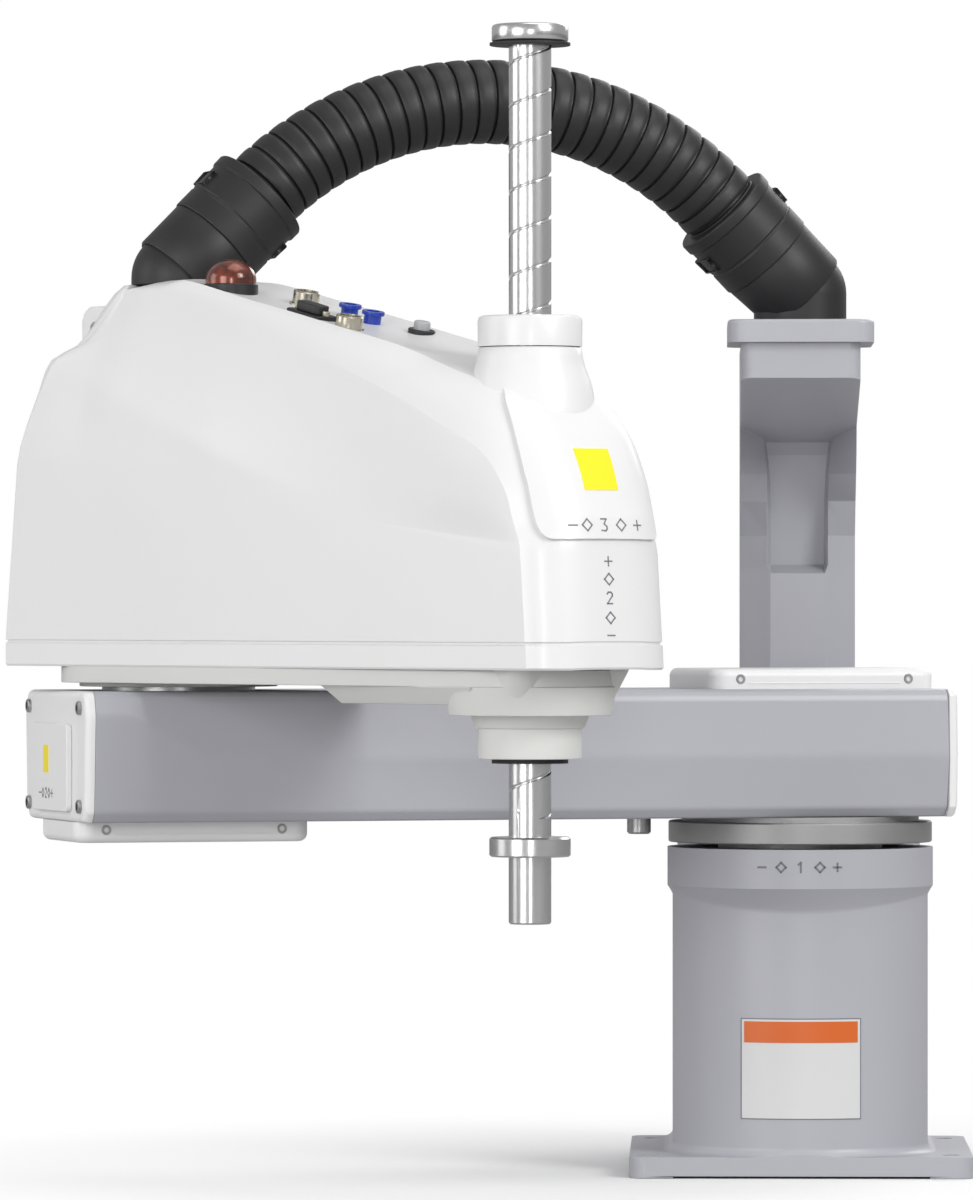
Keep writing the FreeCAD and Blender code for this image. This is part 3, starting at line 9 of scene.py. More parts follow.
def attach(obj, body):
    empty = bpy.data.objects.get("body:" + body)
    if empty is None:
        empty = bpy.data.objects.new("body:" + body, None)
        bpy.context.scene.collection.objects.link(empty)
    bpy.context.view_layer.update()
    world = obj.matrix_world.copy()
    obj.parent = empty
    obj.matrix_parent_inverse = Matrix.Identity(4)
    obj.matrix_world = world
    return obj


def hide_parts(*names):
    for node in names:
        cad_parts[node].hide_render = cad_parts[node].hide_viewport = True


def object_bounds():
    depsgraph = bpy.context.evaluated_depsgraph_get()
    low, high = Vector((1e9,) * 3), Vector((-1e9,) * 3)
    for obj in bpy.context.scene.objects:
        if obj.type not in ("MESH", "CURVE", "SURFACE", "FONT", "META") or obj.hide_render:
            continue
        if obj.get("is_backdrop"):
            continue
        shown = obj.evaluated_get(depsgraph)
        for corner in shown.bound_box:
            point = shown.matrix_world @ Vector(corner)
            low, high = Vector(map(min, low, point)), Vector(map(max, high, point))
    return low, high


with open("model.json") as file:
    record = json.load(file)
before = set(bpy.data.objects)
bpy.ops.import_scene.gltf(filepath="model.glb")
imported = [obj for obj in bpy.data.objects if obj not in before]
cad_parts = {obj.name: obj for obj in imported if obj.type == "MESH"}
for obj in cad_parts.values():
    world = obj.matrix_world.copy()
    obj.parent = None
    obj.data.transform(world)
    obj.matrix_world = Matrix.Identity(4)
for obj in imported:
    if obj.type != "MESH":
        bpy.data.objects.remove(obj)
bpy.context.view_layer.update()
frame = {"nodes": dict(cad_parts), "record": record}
NODES = frame["nodes"]

# Places
ARM1 = math.radians(198.4)
ARM2 = math.radians(310.4)
LENGTH1 = 325.0
LENGTH2 = 275.0
JOINT2 = (LENGTH1 * math.cos(ARM1), LENGTH1 * math.sin(ARM1))
PLACES = {
    "base": Matrix.Identity(4),
    "arm1": Matrix.Rotation(ARM1, 4, "Z"),
    "arm2": Matrix.Translation((JOINT2[0], JOINT2[1], 0)) @ Matrix.Rotation(ARM2, 4, "Z"),
}
PLACES["tool_shaft"] = PLACES["brake_button"] = PLACES["arm2"]
MM = Matrix.Scale(0.001, 4)
UP = Matrix.Identity(4)
SEAM = 0.004


def at(x=0.0, y=0.0, z=0.0):
    """Matrix that moves by x, y and z."""
    return Matrix.Translation((x, y, z))


def facing(direction, spot=(0, 0, 0)):
    """Matrix that turns +Z to a direction and moves to a spot."""
    turn = Vector(direction).normalized().to_track_quat("Z", "Y").to_matrix().to_4x4()
    return Matrix.Translation(spot) @ turn


# Materials
def tint(*rgb):
    """Screen colour from 0 to 1 as scene-linear colour."""
    return [c / 12.92 if c <= 0.04045 else ((c + 0.055) / 1.055) ** 2.4 for c in rgb]


def node(tree, kind, x, y, **inputs):
    """Adds a node and sets its inputs; an underscore in a name stands for a space."""
    made = tree.nodes.new(kind)
    made.location = (x, y)
    for key, value in inputs.items():
        made.inputs[key.replace("_", " ")].default_value = value
    return made


def finish_of(name, rgb, rough=0.5, metal=0.0, mottle=0.03, cloud=9.0, grain=900.0, depth=0.02, coat=0.0,
              spread=0.06):
    """Surface finish: colour clouds, an uneven gloss and a fine grain."""
    made = bpy.data.materials.new(name)
    made.use_nodes = True
    tree = made.node_tree
    tree.nodes.clear()
    link = tree.links.new
    where = node(tree, "ShaderNodeTexCoord", -900, 0)
    clouds = node(tree, "ShaderNodeTexNoise", -500, 150, Scale=cloud, Detail=5.0)
    fine = node(tree, "ShaderNodeTexNoise", -500, -200, Scale=grain, Detail=3.0)
    ramp = node(tree, "ShaderNodeValToRGB", -250, 150)
    gloss = node(tree, "ShaderNodeMapRange", -250, -80, To_Min=rough - spread, To_Max=rough + spread)
    bump = node(tree, "ShaderNodeBump", 0, -300, Strength=1.0, Distance=depth * 0.001)
    skin = node(tree, "ShaderNodeBsdfPrincipled", 300, 0, Metallic=metal, Coat_Weight=coat,
                Coat_Roughness=0.15)
    out = node(tree, "ShaderNodeOutputMaterial", 600, 0)
    base = tint(*rgb)
    for element, position, change in zip(ramp.color_ramp.elements, (0.3, 0.7), (1 - mottle, 1 + mottle)):
        element.position = position
        element.color = [min(1, c * change) for c in base] + [1]
    link(where.outputs["Object"], clouds.inputs["Vector"])
    link(where.outputs["Object"], fine.inputs["Vector"])
    link(clouds.outputs[0], ramp.inputs[0])
    link(ramp.outputs[0], skin.inputs["Base Color"])
    link(fine.outputs[0], gloss.inputs["Value"])
    link(gloss.outputs[0], skin.inputs["Roughness"])
    link(fine.outputs[0], bump.inputs["Height"])
    link(bump.outputs[0], skin.inputs["Normal"])
    link(skin.outputs[0], out.inputs[0])
    return made


FINISHES = {
    "base_paint": dict(rgb=(0.655, 0.655, 0.682), rough=0.38, mottle=0.02, grain=1400, depth=0.03),
    "hood_white": dict(rgb=(0.855, 0.855, 0.855), rough=0.36, mottle=0.012, grain=700, depth=0.012,
                       coat=0.15),
    "cover_white": dict(rgb=(0.885, 0.885, 0.885), rough=0.42, mottle=0.015, grain=1600, depth=0.015),
    "cast_light": dict(rgb=(0.80, 0.80, 0.79), rough=0.5, mottle=0.02, grain=1200, depth=0.03),
    "disc_metal": dict(rgb=(0.62, 0.62, 0.62), rough=0.48, metal=0.9, mottle=0.05, grain=1800, depth=0.03),
    "shaft_steel": dict(rgb=(0.80, 0.80, 0.80), rough=0.24, metal=1.0, mottle=0.03, grain=1000,
                        depth=0.004, spread=0.05),
    "machined_steel": dict(rgb=(0.66, 0.66, 0.66), rough=0.32, metal=1.0, mottle=0.05, grain=900,
                           depth=0.006),
    "motor_black": dict(rgb=(0.09, 0.09, 0.10), rough=0.45, mottle=0.1, depth=0.02),
    "duct_black": dict(rgb=(0.09, 0.09, 0.095), rough=0.5, mottle=0.08, grain=600, depth=0.012),
    "belt_rubber": dict(rgb=(0.07, 0.07, 0.07), rough=0.7, mottle=0.1),
    "seal_rubber": dict(rgb=(0.09, 0.09, 0.09), rough=0.6, mottle=0.1),
    "amber_lens": dict(rgb=(0.40, 0.17, 0.10), rough=0.22, metal=0.35, mottle=0.75, cloud=150,
                       grain=200, depth=0.01, coat=0.6),
    "fitting_nickel": dict(rgb=(0.74, 0.72, 0.66), rough=0.25, metal=1.0, mottle=0.05),
    "fitting_blue": dict(rgb=(0.10, 0.22, 0.62), rough=0.3, mottle=0.06),
    "connector_black": dict(rgb=(0.085, 0.085, 0.09), rough=0.45, mottle=0.1),
    "button_grey": dict(rgb=(0.62, 0.62, 0.63), rough=0.4, mottle=0.05),
    "bracket_aluminium": dict(rgb=(0.72, 0.72, 0.72), rough=0.4, metal=0.9),
    "label_yellow": dict(rgb=(0.94, 0.86, 0.05), rough=0.4, mottle=0.03, depth=0.004),
    "label_orange": dict(rgb=(0.80, 0.37, 0.10), rough=0.4, mottle=0.03, depth=0.004),
    "label_grey": dict(rgb=(0.80, 0.80, 0.80), rough=0.4, mottle=0.03, depth=0.004),
    "mark_grey": dict(rgb=(0.45, 0.45, 0.48), rough=0.5, mottle=0.05, depth=0.004),
}
SKINS = {name: finish_of(name, **look) for name, look in FINISHES.items()}


# Mesh building
def smooth_out(item, bevel=0.0, angle=30.0, segments=2):
    """Welds the seams, rounds sharp edges and shades the flats flat."""
    mesh = item.data
    if "custom_normal" in mesh.attributes:
        mesh.attributes.remove(mesh.attributes["custom_normal"])
    mesh.polygons.foreach_set("use_smooth", [True] * len(mesh.polygons))
    join = item.modifiers.new("weld", "WELD")
    join.merge_threshold = 0.00002
    if bevel:
        edge = item.modifiers.new("edges", "BEVEL")
        edge.width = bevel * 0.001
        edge.segments = segments
        edge.limit_method = "ANGLE"
        edge.angle_limit = math.radians(angle)
        edge.use_clamp_overlap = True
        normal = item.modifiers.new("normals", "WEIGHTED_NORMAL")
        normal.weight = 80
    else:
        split = item.modifiers.new("creases", "EDGE_SPLIT")
        split.split_angle = math.radians(angle)


def piece(name, parts, body, slot, hides=(), bevel=0.0, angle=30.0, segments=2, begun=None):
    """One object from (corners, faces) parts in the body's own millimetres, added to a mesh already begun."""
    build = begun or bmesh.new()
    for corners, faces in parts:
        made = [build.verts.new(c) for c in corners]
        for face in faces:
            build.faces.new([made[i] for i in face])
    bmesh.ops.remove_doubles(build, verts=build.verts, dist=SEAM)
    bmesh.ops.recalc_face_normals(build, faces=build.faces)
    mesh = bpy.data.meshes.new(name)
    build.transform(MM @ PLACES[body])
    build.to_mesh(mesh)
    build.free()
    item = bpy.data.objects.new(name, mesh)
    bpy.context.scene.collection.objects.link(item)
    mesh.materials.append(SKINS[slot])
    smooth_out(item, bevel, angle, segments)
    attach(item, body)
    if hides:
        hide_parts(*hides)


def moved(part, matrix):
    """A (corners, faces) part after a matrix."""
    corners, faces = part
    return [tuple(matrix @ Vector(c)) for c in corners], faces


def lathe(profile, spot=UP, count=64, loop=False):
    """Turned skin from (radius, height) points; a loop joins the last point to the first."""
    corners = []
    for radius, height in profile:
        for step in range(count):
            turn = 2 * math.pi * step / count
            corners.append((radius * math.cos(turn), radius * math.sin(turn), height))
    faces = []
    rows = len(profile)
    for row in range(rows if loop else rows - 1):
        low = row * count
        high = (row + 1) % rows * count
        for step in range(count):
            after = (step + 1) % count
            faces.append((low + step, low + after, high + after, high + step))
    return moved((corners, faces), spot)


def ring_of(outer, inner, low, high, spot=UP, count=64):
    """Flat ring with square edges."""
    return lathe([(inner, low), (outer, low), (outer, high), (inner, high)], spot, count, loop=True)


def prism(points, low, high, spot=UP):
    """Upright prism on an outline of (x, y) points."""
    count = len(points)
    corners = [(x, y, low) for x, y in points] + [(x, y, high) for x, y in points]
    faces = [tuple(range(count))[::-1], tuple(range(count, 2 * count))]
    for step in range(count):
        after = (step + 1) % count
        faces.append((step, after, count + after, count + step))
    return moved((corners, faces), spot)


def block(x_low, x_high, y_low, y_high, z_low, z_high, spot=UP):
    """Box between limits on each axis."""
    return prism([(x_low, y_low), (x_high, y_low), (x_high, y_high), (x_low, y_high)], z_low, z_high, spot)


def rounded(width, height, radius, steps=5):
    """Outline of a rectangle with round corners."""
    points = []
    for cx, cy, start in ((1, 1, 0), (-1, 1, 90), (-1, -1, 180), (1, -1, 270)):
        for step in range(steps + 1):
            turn = math.radians(start + 90 * step / steps)
            points.append((cx * (width / 2 - radius) + radius * math.cos(turn),
                           cy * (height / 2 - radius) + radius * math.sin(turn)))
    return points


def grid(rows, closed=False):
    """Sheet of four-sided faces through rows with the same number of points."""
    corners = [tuple(p) for row in rows for p in row]
    count = len(rows[0])
    faces = []
    for row in range(len(rows) - 1):
        for step in range(count if closed else count - 1):
            after = (step + 1) % count
            faces.append((row * count + step, row * count + after, (row + 1) * count + after,
                          (row + 1) * count + step))
    return corners, faces


def sweep(path, radii, count=48):
    """Round tube through (x, z) points with a radius at each."""
    rows = []
    path = np.array(path, float)
    tangents = np.gradient(path, axis=0)
    for (x, z), (dx, dz), radius in zip(path, tangents, radii):
        size = math.hypot(dx, dz)
        nx, nz = -dz / size, dx / size
        row = []
        for step in range(count):
            turn = 2 * math.pi * step / count
            row.append((x + radius * math.cos(turn) * nx, radius * math.sin(turn),
                        z + radius * math.cos(turn) * nz))
        rows.append(row)
    return grid(rows, closed=True)


def through(nodes, sub):
    """Smooth curve through the nodes, with sub steps in each span."""
    nodes = np.array(nodes, float)
    ends = np.vstack([2 * nodes[0] - nodes[1], nodes, 2 * nodes[-1] - nodes[-2]])
    out = []
    for i in range(1, len(ends) - 2):
        a, b, c, e = ends[i - 1:i + 3]
        for t in np.linspace(0, 1, sub, endpoint=False):
            out.append(0.5 * (2 * b + (c - a) * t + (2 * a - 5 * b + 4 * c - e) * t ** 2
                              + (3 * b - a - 3 * c + e) * t ** 3))
    out.append(ends[-2])
    return np.array(out)


def screw_at(spot, radius=3.6, height=2.2, socket=0.5):
    """Socket head with a rounded edge; +Z of the spot is the screw's axis."""
    profile = [(0, height - 1.6), (radius * socket, height - 1.6), (radius * socket, height),
               (radius * 0.85, height), (radius, height - 0.5), (radius, 0), (0, 0)]
    return lathe(profile, spot, 24)


MINUS = [(-2.2, 0, 2.2, 0)]
PLUS = [(-2.2, 0, 2.2, 0), (0, -2.2, 0, 2.2)]
DIAMOND = [(0, 2.8, 2.8, 0), (2.8, 0, 0, -2.8), (0, -2.8, -2.8, 0), (-2.8, 0, 0, 2.8)]
ONE = [(0, -2.8, 0, 2.8), (-1.2, 1.7, 0, 2.8)]
TWO = [(-1.6, 2.0, -0.8, 2.8), (-0.8, 2.8, 0.8, 2.8), (0.8, 2.8, 1.6, 2.0), (1.6, 2.0, 1.6, 1.0),
       (1.6, 1.0, -1.6, -2.8), (-1.6, -2.8, 1.6, -2.8)]
THREE = [(-1.6, 2.8, 1.6, 2.8), (1.6, 2.8, 0.1, 0.5), (0.1, 0.5, 1.6, -0.8), (1.6, -0.8, 1.6, -1.9),
         (1.6, -1.9, 0.7, -2.8), (0.7, -2.8, -1.6, -2.6)]


def strokes(lines, spot, width=0.7, lift=0.12, size=1.0):
    """Printed mark of straight strokes; +Z of the spot faces out."""
    parts = []
    for x0, y0, x1, y1 in lines:
        long = math.hypot(x1 - x0, y1 - y0) * size
        turn = Matrix.Rotation(math.atan2(y1 - y0, x1 - x0), 4, "Z")
        parts.append(block(-width / 2, long + width / 2, -width / 2, width / 2, -0.4, lift,
                           spot @ at(x0 * size, y0 * size) @ turn))
    return parts


# CAD pieces: finish and rounded edges
KEEP_BEVEL = {
    "post_flange": 0.8, "arm2_casting": 1.0, "arm1_top_cover": 0.5, "arm1_bottom_cover": 0.5,
    "j1_output_disc": 0.4, "connector_panel": 0.4, "power_connector": 0.5, "signal_connectors": 0.5,
    "motor_bracket": 0.5, "u_motor_bracket": 0.5, "arm1_inner_end_cover": 0.5,
}
for entry in frame["record"]["subparts"]:
    item = NODES[entry["node"]]
    item.data.materials.clear()
    item.data.materials.append(SKINS[entry["material_slot"]])
    for polygon in item.data.polygons:
        polygon.material_index = 0
    smooth_out(item, KEEP_BEVEL.get(entry["node"], 0.0), 28.0)


def cad_mesh(name):
    """Copy of a CAD piece's mesh in millimetres, with its seams joined."""
    copy = bmesh.new()
    copy.from_mesh(NODES[name].data)
    copy.transform(Matrix.Scale(1000.0, 4) @ NODES[name].matrix_world)
    bmesh.ops.remove_doubles(copy, verts=copy.verts, dist=SEAM)
    return copy


def without(mesh, doomed):
    """The mesh after the faces that the test names are deleted."""
    bmesh.ops.delete(mesh, geom=[face for face in mesh.faces if doomed(face)], context="FACES")
    return mesh


# Base casting
COLLAR = 67.1
COLLAR_LOW = 144.6
PLATE_TOP = 10.5
WALL_X, WALL_Y = 64.5, 59.6
FRONT = 60.0
COLUMN_BACK = 112.0
CORNER_X, CORNER_Y, CORNER_RADIUS = 30.5, -26.0, 34.0
FOOT_FILLET = 4.5
ARCH_DROP = 1.75
ARCH_BEND = 1.15
PLATE_FLAT = 78.0
PLATE_LEG = 64.0
LEG_HEIGHT = 1.0


def old_column(face):
    """True for the column's own walls, its ledges and the plate's front, which are drawn anew."""
    mid, out = face.calc_center_median(), face.normal
    if mid.y < 0.1 - FRONT and mid.z < COLLAR_LOW - 7 and out.y < -0.999 and abs(mid.x) < PLATE_FLAT:
        return True
    if 0.3 < mid.z < COLLAR_LOW - 0.1 and abs(out.z) < 0.1:
        corner = math.hypot(abs(mid.x) - CORNER_X, mid.y - CORNER_Y)
        if abs(abs(mid.x) - WALL_X) < 0.1 and mid.y < COLUMN_BACK + 0.5:
            return True
        if mid.y < CORNER_Y and abs(corner - CORNER_RADIUS) < 0.8:
            return True
    under = out.z < -0.3 and 130 < mid.z < COLLAR_LOW
    ledge = out.z > 0.5 and abs(mid.z - COLLAR_LOW) < 0.2 and math.hypot(mid.x, mid.y) > COLLAR - 2
    return mid.y < 0 and (under or ledge)


def column_skin():
    """Column wall with its foot fillet and the arched undercut of the collar."""
    half = [(WALL_X, COLUMN_BACK), (WALL_X, 60), (WALL_X, 18.5), (WALL_X, 9)]
    front = [(WALL_X * math.cos(t), -WALL_Y * math.sin(t)) for t in np.linspace(0, math.pi, 73)]
    points = np.array(half + front + [(-x, y) for x, y in half[::-1]], float)
    along = np.gradient(points, axis=0)
    out = np.stack([along[:, 1], -along[:, 0]], axis=1)
    out /= np.linalg.norm(out, axis=1)[:, None]
    out *= math.copysign(1, out[0][0])
    skin_rows = []
    for turn in np.linspace(0, math.pi / 2, 6):
        spread = FOOT_FILLET * (1 - math.sin(turn))
        level = PLATE_TOP + FOOT_FILLET * (1 - math.cos(turn))
        skin_rows.append([(x + n[0] * spread, max(y + n[1] * spread, 0.02 - FRONT), level)
                          for (x, y), n in zip(points, out)])
    for t in np.linspace(0, 1, 6):
        row = []
        for x, y in points:
            radius = math.hypot(x, y)
            over = max(0.0, COLLAR - radius) if y < 18 else 0.0
            low = COLLAR_LOW - ARCH_DROP * over
            grow = (radius + over * t ** ARCH_BEND) / radius
            row.append((x * grow, y * grow, low + (COLLAR_LOW - low) * t))
        skin_rows.append(row)
    return grid(skin_rows)


def plate_front():
    """Front of the foot plate, with a low arch between its two legs."""
    return [grid([[(low, -FRONT, z), (high, -FRONT, z)] for z in (base, top)])
            for low, high, base, top in ((-PLATE_FLAT, PLATE_FLAT, LEG_HEIGHT, PLATE_TOP),
                                         (-PLATE_FLAT, -PLATE_LEG, 0, LEG_HEIGHT),
                                         (PLATE_LEG, PLATE_FLAT, 0, LEG_HEIGHT))]


floor_patch = block(-WALL_X, WALL_X, 0.02 - FRONT, 0, PLATE_TOP - 1, PLATE_TOP - 0.02)
piece("base_body", [column_skin(), floor_patch] + plate_front(), "base", "base_paint", ("base_casting",),
      bevel=1.2, angle=28, begun=without(cad_mesh("base_casting"), old_column))


def column_patch(x_low, x_high, z_low, z_high, lift):
    """Plain sheet wrapped on the front of the column."""
    rows_out = []
    for z, rise in ((z_low, -0.3), (z_low, lift), (z_high, lift), (z_high, -0.3)):
        rows_out.append([(x * (1 + rise / WALL_X), -WALL_Y * math.sqrt(1 - (x / WALL_X) ** 2) - rise, z)
                         for x in np.linspace(x_low, x_high, 25)])
    return [grid(rows_out)]


for name, x_low, x_high, z_low, z_high, lift, slot in (
        ("column_patch", -29.6, 29.2, 29.8, 79.2, 0.25, "label_grey"),
        ("column_rim", -30.2, 29.8, 29.2, 79.8, 0.12, "mark_grey"),
        ("column_band", -28.4, 28.0, 67.6, 78.2, 0.4, "label_orange")):
    piece(name, column_patch(x_low, x_high, z_low, z_high, lift), "base", slot)
COLLAR_MARKS_Z = 155.4
marks = []
for x, shape in ((-19.7, MINUS), (-10.2, DIAMOND), (-0.4, ONE), (9.2, DIAMOND), (17.9, PLUS)):
    y = -math.sqrt(COLLAR ** 2 - x ** 2)
    marks += strokes(shape, facing((x, y, 0), (x, y, COLLAR_MARKS_Z)), 1.0, size=0.85)
piece("collar_marks", marks, "base", "mark_grey")

# Rear post
POST_BACK, POST_TOP = 158.0, 418.0
POST_SIDE = 30.0
HEAD_FRONT, HEAD_CORNER = -36.0, 6.0
HOUSING_TOP = 150.0
# Each row: height, side corner y, chamfer end x and y, strip half width and strip y.
POST_ROWS = [(HOUSING_TOP, 127.0, 14.3, 112.0, 13.8, 112.0), (302.5, 127.0, 14.3, 112.0, 13.8, 112.0),
             (307.0, 126.5, 15.8, 112.0, 13.9, 124.0), (322.0, 125.0, 15.8, 112.0, 13.9, 122.5),
             (340.0, 108.0, 15.8, 112.0, 14.0, 120.5), (354.0, 90.0, 16.0, 111.0, 14.6, 119.0),
             (364.0, 80.0, 16.8, 110.0, 15.6, 118.0), (None, 75.0, 17.6, 107.0, 16.6, 114.0)]


def under_head(y):
    """Height of the head's sloping underside."""
    return 392.9 - 0.196 * y


def post_front():
    """Shaft of the post with its recessed strip, and the head that leans forward over it."""
    skin_rows = []
    for level, corner, edge, edge_y, strip, strip_y in POST_ROWS:
        half = [(POST_SIDE, POST_BACK), (POST_SIDE, corner), (edge, edge_y), (strip, strip_y)]
        row = [(x, y, level or under_head(min(y, 120))) for x, y in half]
        skin_rows.append(row + [(-x, y, z) for x, y, z in row[::-1]])
    top = skin_rows[-1]
    inner, start = POST_SIDE - HEAD_CORNER, HEAD_FRONT + HEAD_CORNER
    arc = [(inner + HEAD_CORNER * math.cos(t), start - HEAD_CORNER * math.sin(t))
           for t in np.linspace(0, math.pi / 2, 7)]
    loop = arc + [(-x, y) for x, y in arc[::-1]]
    low = [(x, y, under_head(y)) for x, y in loop]
    high = [(x, y, POST_TOP) for x, y in loop]
    ceiling = top[1:7] + low[::-1]
    parts = [grid(skin_rows), grid([low, high]), (ceiling, [tuple(range(len(ceiling)))])]
    for side, near, far in ((POST_SIDE, top[1], top[0]), (-POST_SIDE, top[6], top[7])):
        wall = [far, near, (side, start, under_head(start)), (side, start, POST_TOP),
                (side, POST_BACK, POST_TOP)]
        parts.append((wall, [tuple(range(len(wall)))]))
    return parts


def old_post(face):
    """True for the post's own front and sides, not for its back, its top and the cable way inside."""
    mid = face.calc_center_median()
    inside = abs(mid.x) < 20.2 and 131 < mid.y < 153
    return mid.y < POST_BACK - 0.1 and not inside and HOUSING_TOP + 0.1 < mid.z < POST_TOP - 0.1


piece("post_body", post_front(), "base", "base_paint", ("rear_post",), bevel=1.4, angle=16, segments=3,
      begun=without(cad_mesh("rear_post"), old_post))

# Hood
# Pairs of (u, half, Z): the shoulder's line and the edge of the sloping top panel beside it.
PAIRS = [
    ((-4, 29, 441.5), (10, 22, 444.4)), ((16, 32, 439), (26, 25, 444.4)),
    ((37.5, 33.5, 435.3), (46, 27, 444.2)), ((85.7, 37, 425.3), (96, 29.3, 434)),
    ((124, 39.5, 416.2), (135, 29.3, 426)), ((161.5, 41.5, 406.4), (174, 29.3, 417.6)),
    ((200, 43.5, 394.3), (215, 29.2, 408.6)), ((234, 44.8, 382.9), (250, 28.7, 398)),
    ((264.4, 45.2, 370.7), (284, 27.8, 387)), ((292.5, 44, 357.8), (306, 26.6, 371)),
    ((307, 42, 341), (319, 25, 352)), ((314.5, 40.3, 322), (328.5, 24, 326)),
]
CORNER = [
    ((317.5, 41, 315), (330.5, 24, 315)), ((318.5, 41.3, 310), (331.3, 24, 310)),
    ((322, 41.3, 269.2), (334, 24, 269.2)), ((321.2, 40.5, 268.6), (333.2, 23.5, 268.6)),
    ((321.2, 40.5, 267.8), (333.2, 23.5, 267.8)), ((322.3, 41.4, 267.2), (334.2, 24, 267.2)),
    ((323, 41.5, 257), (334.6, 24, 257)), ((322.3, 40.8, 256), (333.9, 23.5, 256)),
]
SUB = 6
REAR_CREASE = -11.9
shoulder = through([a for a, b in PAIRS], SUB)
panel_edge = through([b for a, b in PAIRS], SUB)
shoulder_all = np.vstack([shoulder, [a for a, b in CORNER]])
panel_all = np.vstack([panel_edge, [b for a, b in CORNER]])
LOW_CREASE = [(-61.4, 355.9), (-22, 355.4), (12.7, 353.5), (55, 349.1), (103, 343.2), (138.6, 337.6),
              (174.9, 331.6), (221.8, 323.7), (318.5, 310)]
FACET_LINE = [(REAR_CREASE, 397.3, 48.5), (8, 389.6, 50), (46, 376.8, 51), (86.5, 364.1, 51.3),
              (125.6, 351.6, 50.8), (163, 340.7, 49.5), (192, 332.4, 48), (222.6, 324.7, 45.8)]
FACET_END = 315


def base_half(u):
    """Half width of the hood at its foot."""
    return 58.5 - 17.0 * (u + 66) / 389


def level_side(front, front_half, level, inset=0.0):
    """Straight side as (u, half, Z) from the rear crease to the front corner."""
    return [(REAR_CREASE, base_half(REAR_CREASE) - inset, level), (front, front_half, level)]


def nose_corner(level):
    """Front end of a side row: u, half and Z on the nose's corner."""
    zs, us, halves = zip(*sorted((z, u, half) for (u, half, z), edge in CORNER))
    return float(np.interp(level, zs, us)), float(np.interp(level, zs, halves)), level


def crease_side():
    """Low crease of the side, drawn in a little from the foot's width."""
    us = [REAR_CREASE] + [u for u, z in LOW_CREASE[:-1] if u > REAR_CREASE]
    inset = np.interp(us, (-12, 46, 86, 125), (1.6, 0.7, 0.3, 0.05))
    levels = np.interp(us, *zip(*LOW_CREASE))
    return [(u, base_half(u) - i, z) for u, i, z in zip(us, inset, levels)] + [nose_corner(LOW_CREASE[-1][1])]


# Each row: the side's points, then the rear's reach, corner, half width, level and corner rounding.
ROWS = [
    (level_side(322.3, 40.8, 256, 0.7), (76.9, -65.8, 57.8, 256, 3)),
    (level_side(323, 41.5, 257), (77.5, -66.3, 58.5, 257, 3)),
    (level_side(322.3, 41.4, 267.2, 0.2), (77.4, -66.4, 58.4, 267.2, 3)),
    (level_side(321.2, 40.5, 267.8, 1.0), (76.6, -65.6, 57.6, 267.8, 3)),
    (level_side(321.2, 40.5, 268.6, 1.0), (76.6, -65.6, 57.6, 268.6, 3)),
    (level_side(322, 41.3, 269.2, 0.2), (77.4, -66.5, 58.4, 269.2, 3)),
    (crease_side(), (72.6, -61.4, 55.6, 355.9, 5)),
    ([(u, min(half, base_half(u) - 0.1), z) for u, z, half in FACET_LINE] + [nose_corner(FACET_END)],
     (66.0, -51.5, 50.5, 392, 10)),
]
top_u = shoulder[:, 0]
share = (top_u - top_u[0]) / (top_u[-1] - top_u[0])


def rear_half(crease, reach, corner, half, level, rounding):
    """Near half of the rear, from the crease round the corner to the middle."""
    centre = (corner ** 2 + half ** 2 - reach ** 2) / (2 * (reach + corner))
    radius = centre + reach
    sweep_angle = math.atan2(half, centre - corner)
    flat = np.linspace(crease, (corner, -half, level), 80, endpoint=False)
    turns = np.linspace(sweep_angle, 0, 120)
    levels = np.full(len(turns), float(level))
    arc = np.stack([centre - radius * np.cos(turns), -radius * np.sin(turns), levels], axis=1)
    path = np.vstack([flat, arc])
    run = np.concatenate([[0], np.cumsum(np.linalg.norm(np.diff(path, axis=0), axis=1))])
    bend = float(np.linalg.norm(np.array(crease) - np.array((corner, -half, level))))
    reach_of = min(rounding, bend * 0.9)
    spots = np.concatenate([np.linspace(0, bend - reach_of, 8, endpoint=False),
                            np.linspace(bend - reach_of, bend + reach_of, 8, endpoint=False),
                            np.linspace(bend + reach_of, run[-1], 9)])
    out = []
    for spot in spots:
        wide = max(0.0, reach_of - abs(spot - bend))
        wide = min(wide, spot, run[-1] - spot)
        near = np.linspace(spot - wide, spot + wide, 9) if wide > 0 else np.array([spot])
        out.append([np.interp(near, run, path[:, k]).mean() for k in range(3)])
    return out


def full_row(side, rear):
    """Near side from front to crease, round the rear, and the far side to the front."""
    side = np.array(side, float)
    us = side[0, 0] + (side[-1, 0] - side[0, 0]) * share
    halves = np.interp(us, side[:, 0], side[:, 1])
    levels = np.interp(us, side[:, 0], side[:, 2])
    near = [(u, -h, z) for u, h, z in zip(us, halves, levels)]
    back = rear_half(near[0], *rear)[1:]
    return mirrored(near[::-1] + [tuple(p) for p in back])


def mirrored(near):
    """Near half of a row and its mirror image back to the front."""
    return near + [(x, -y, z) for x, y, z in near[-2::-1]]


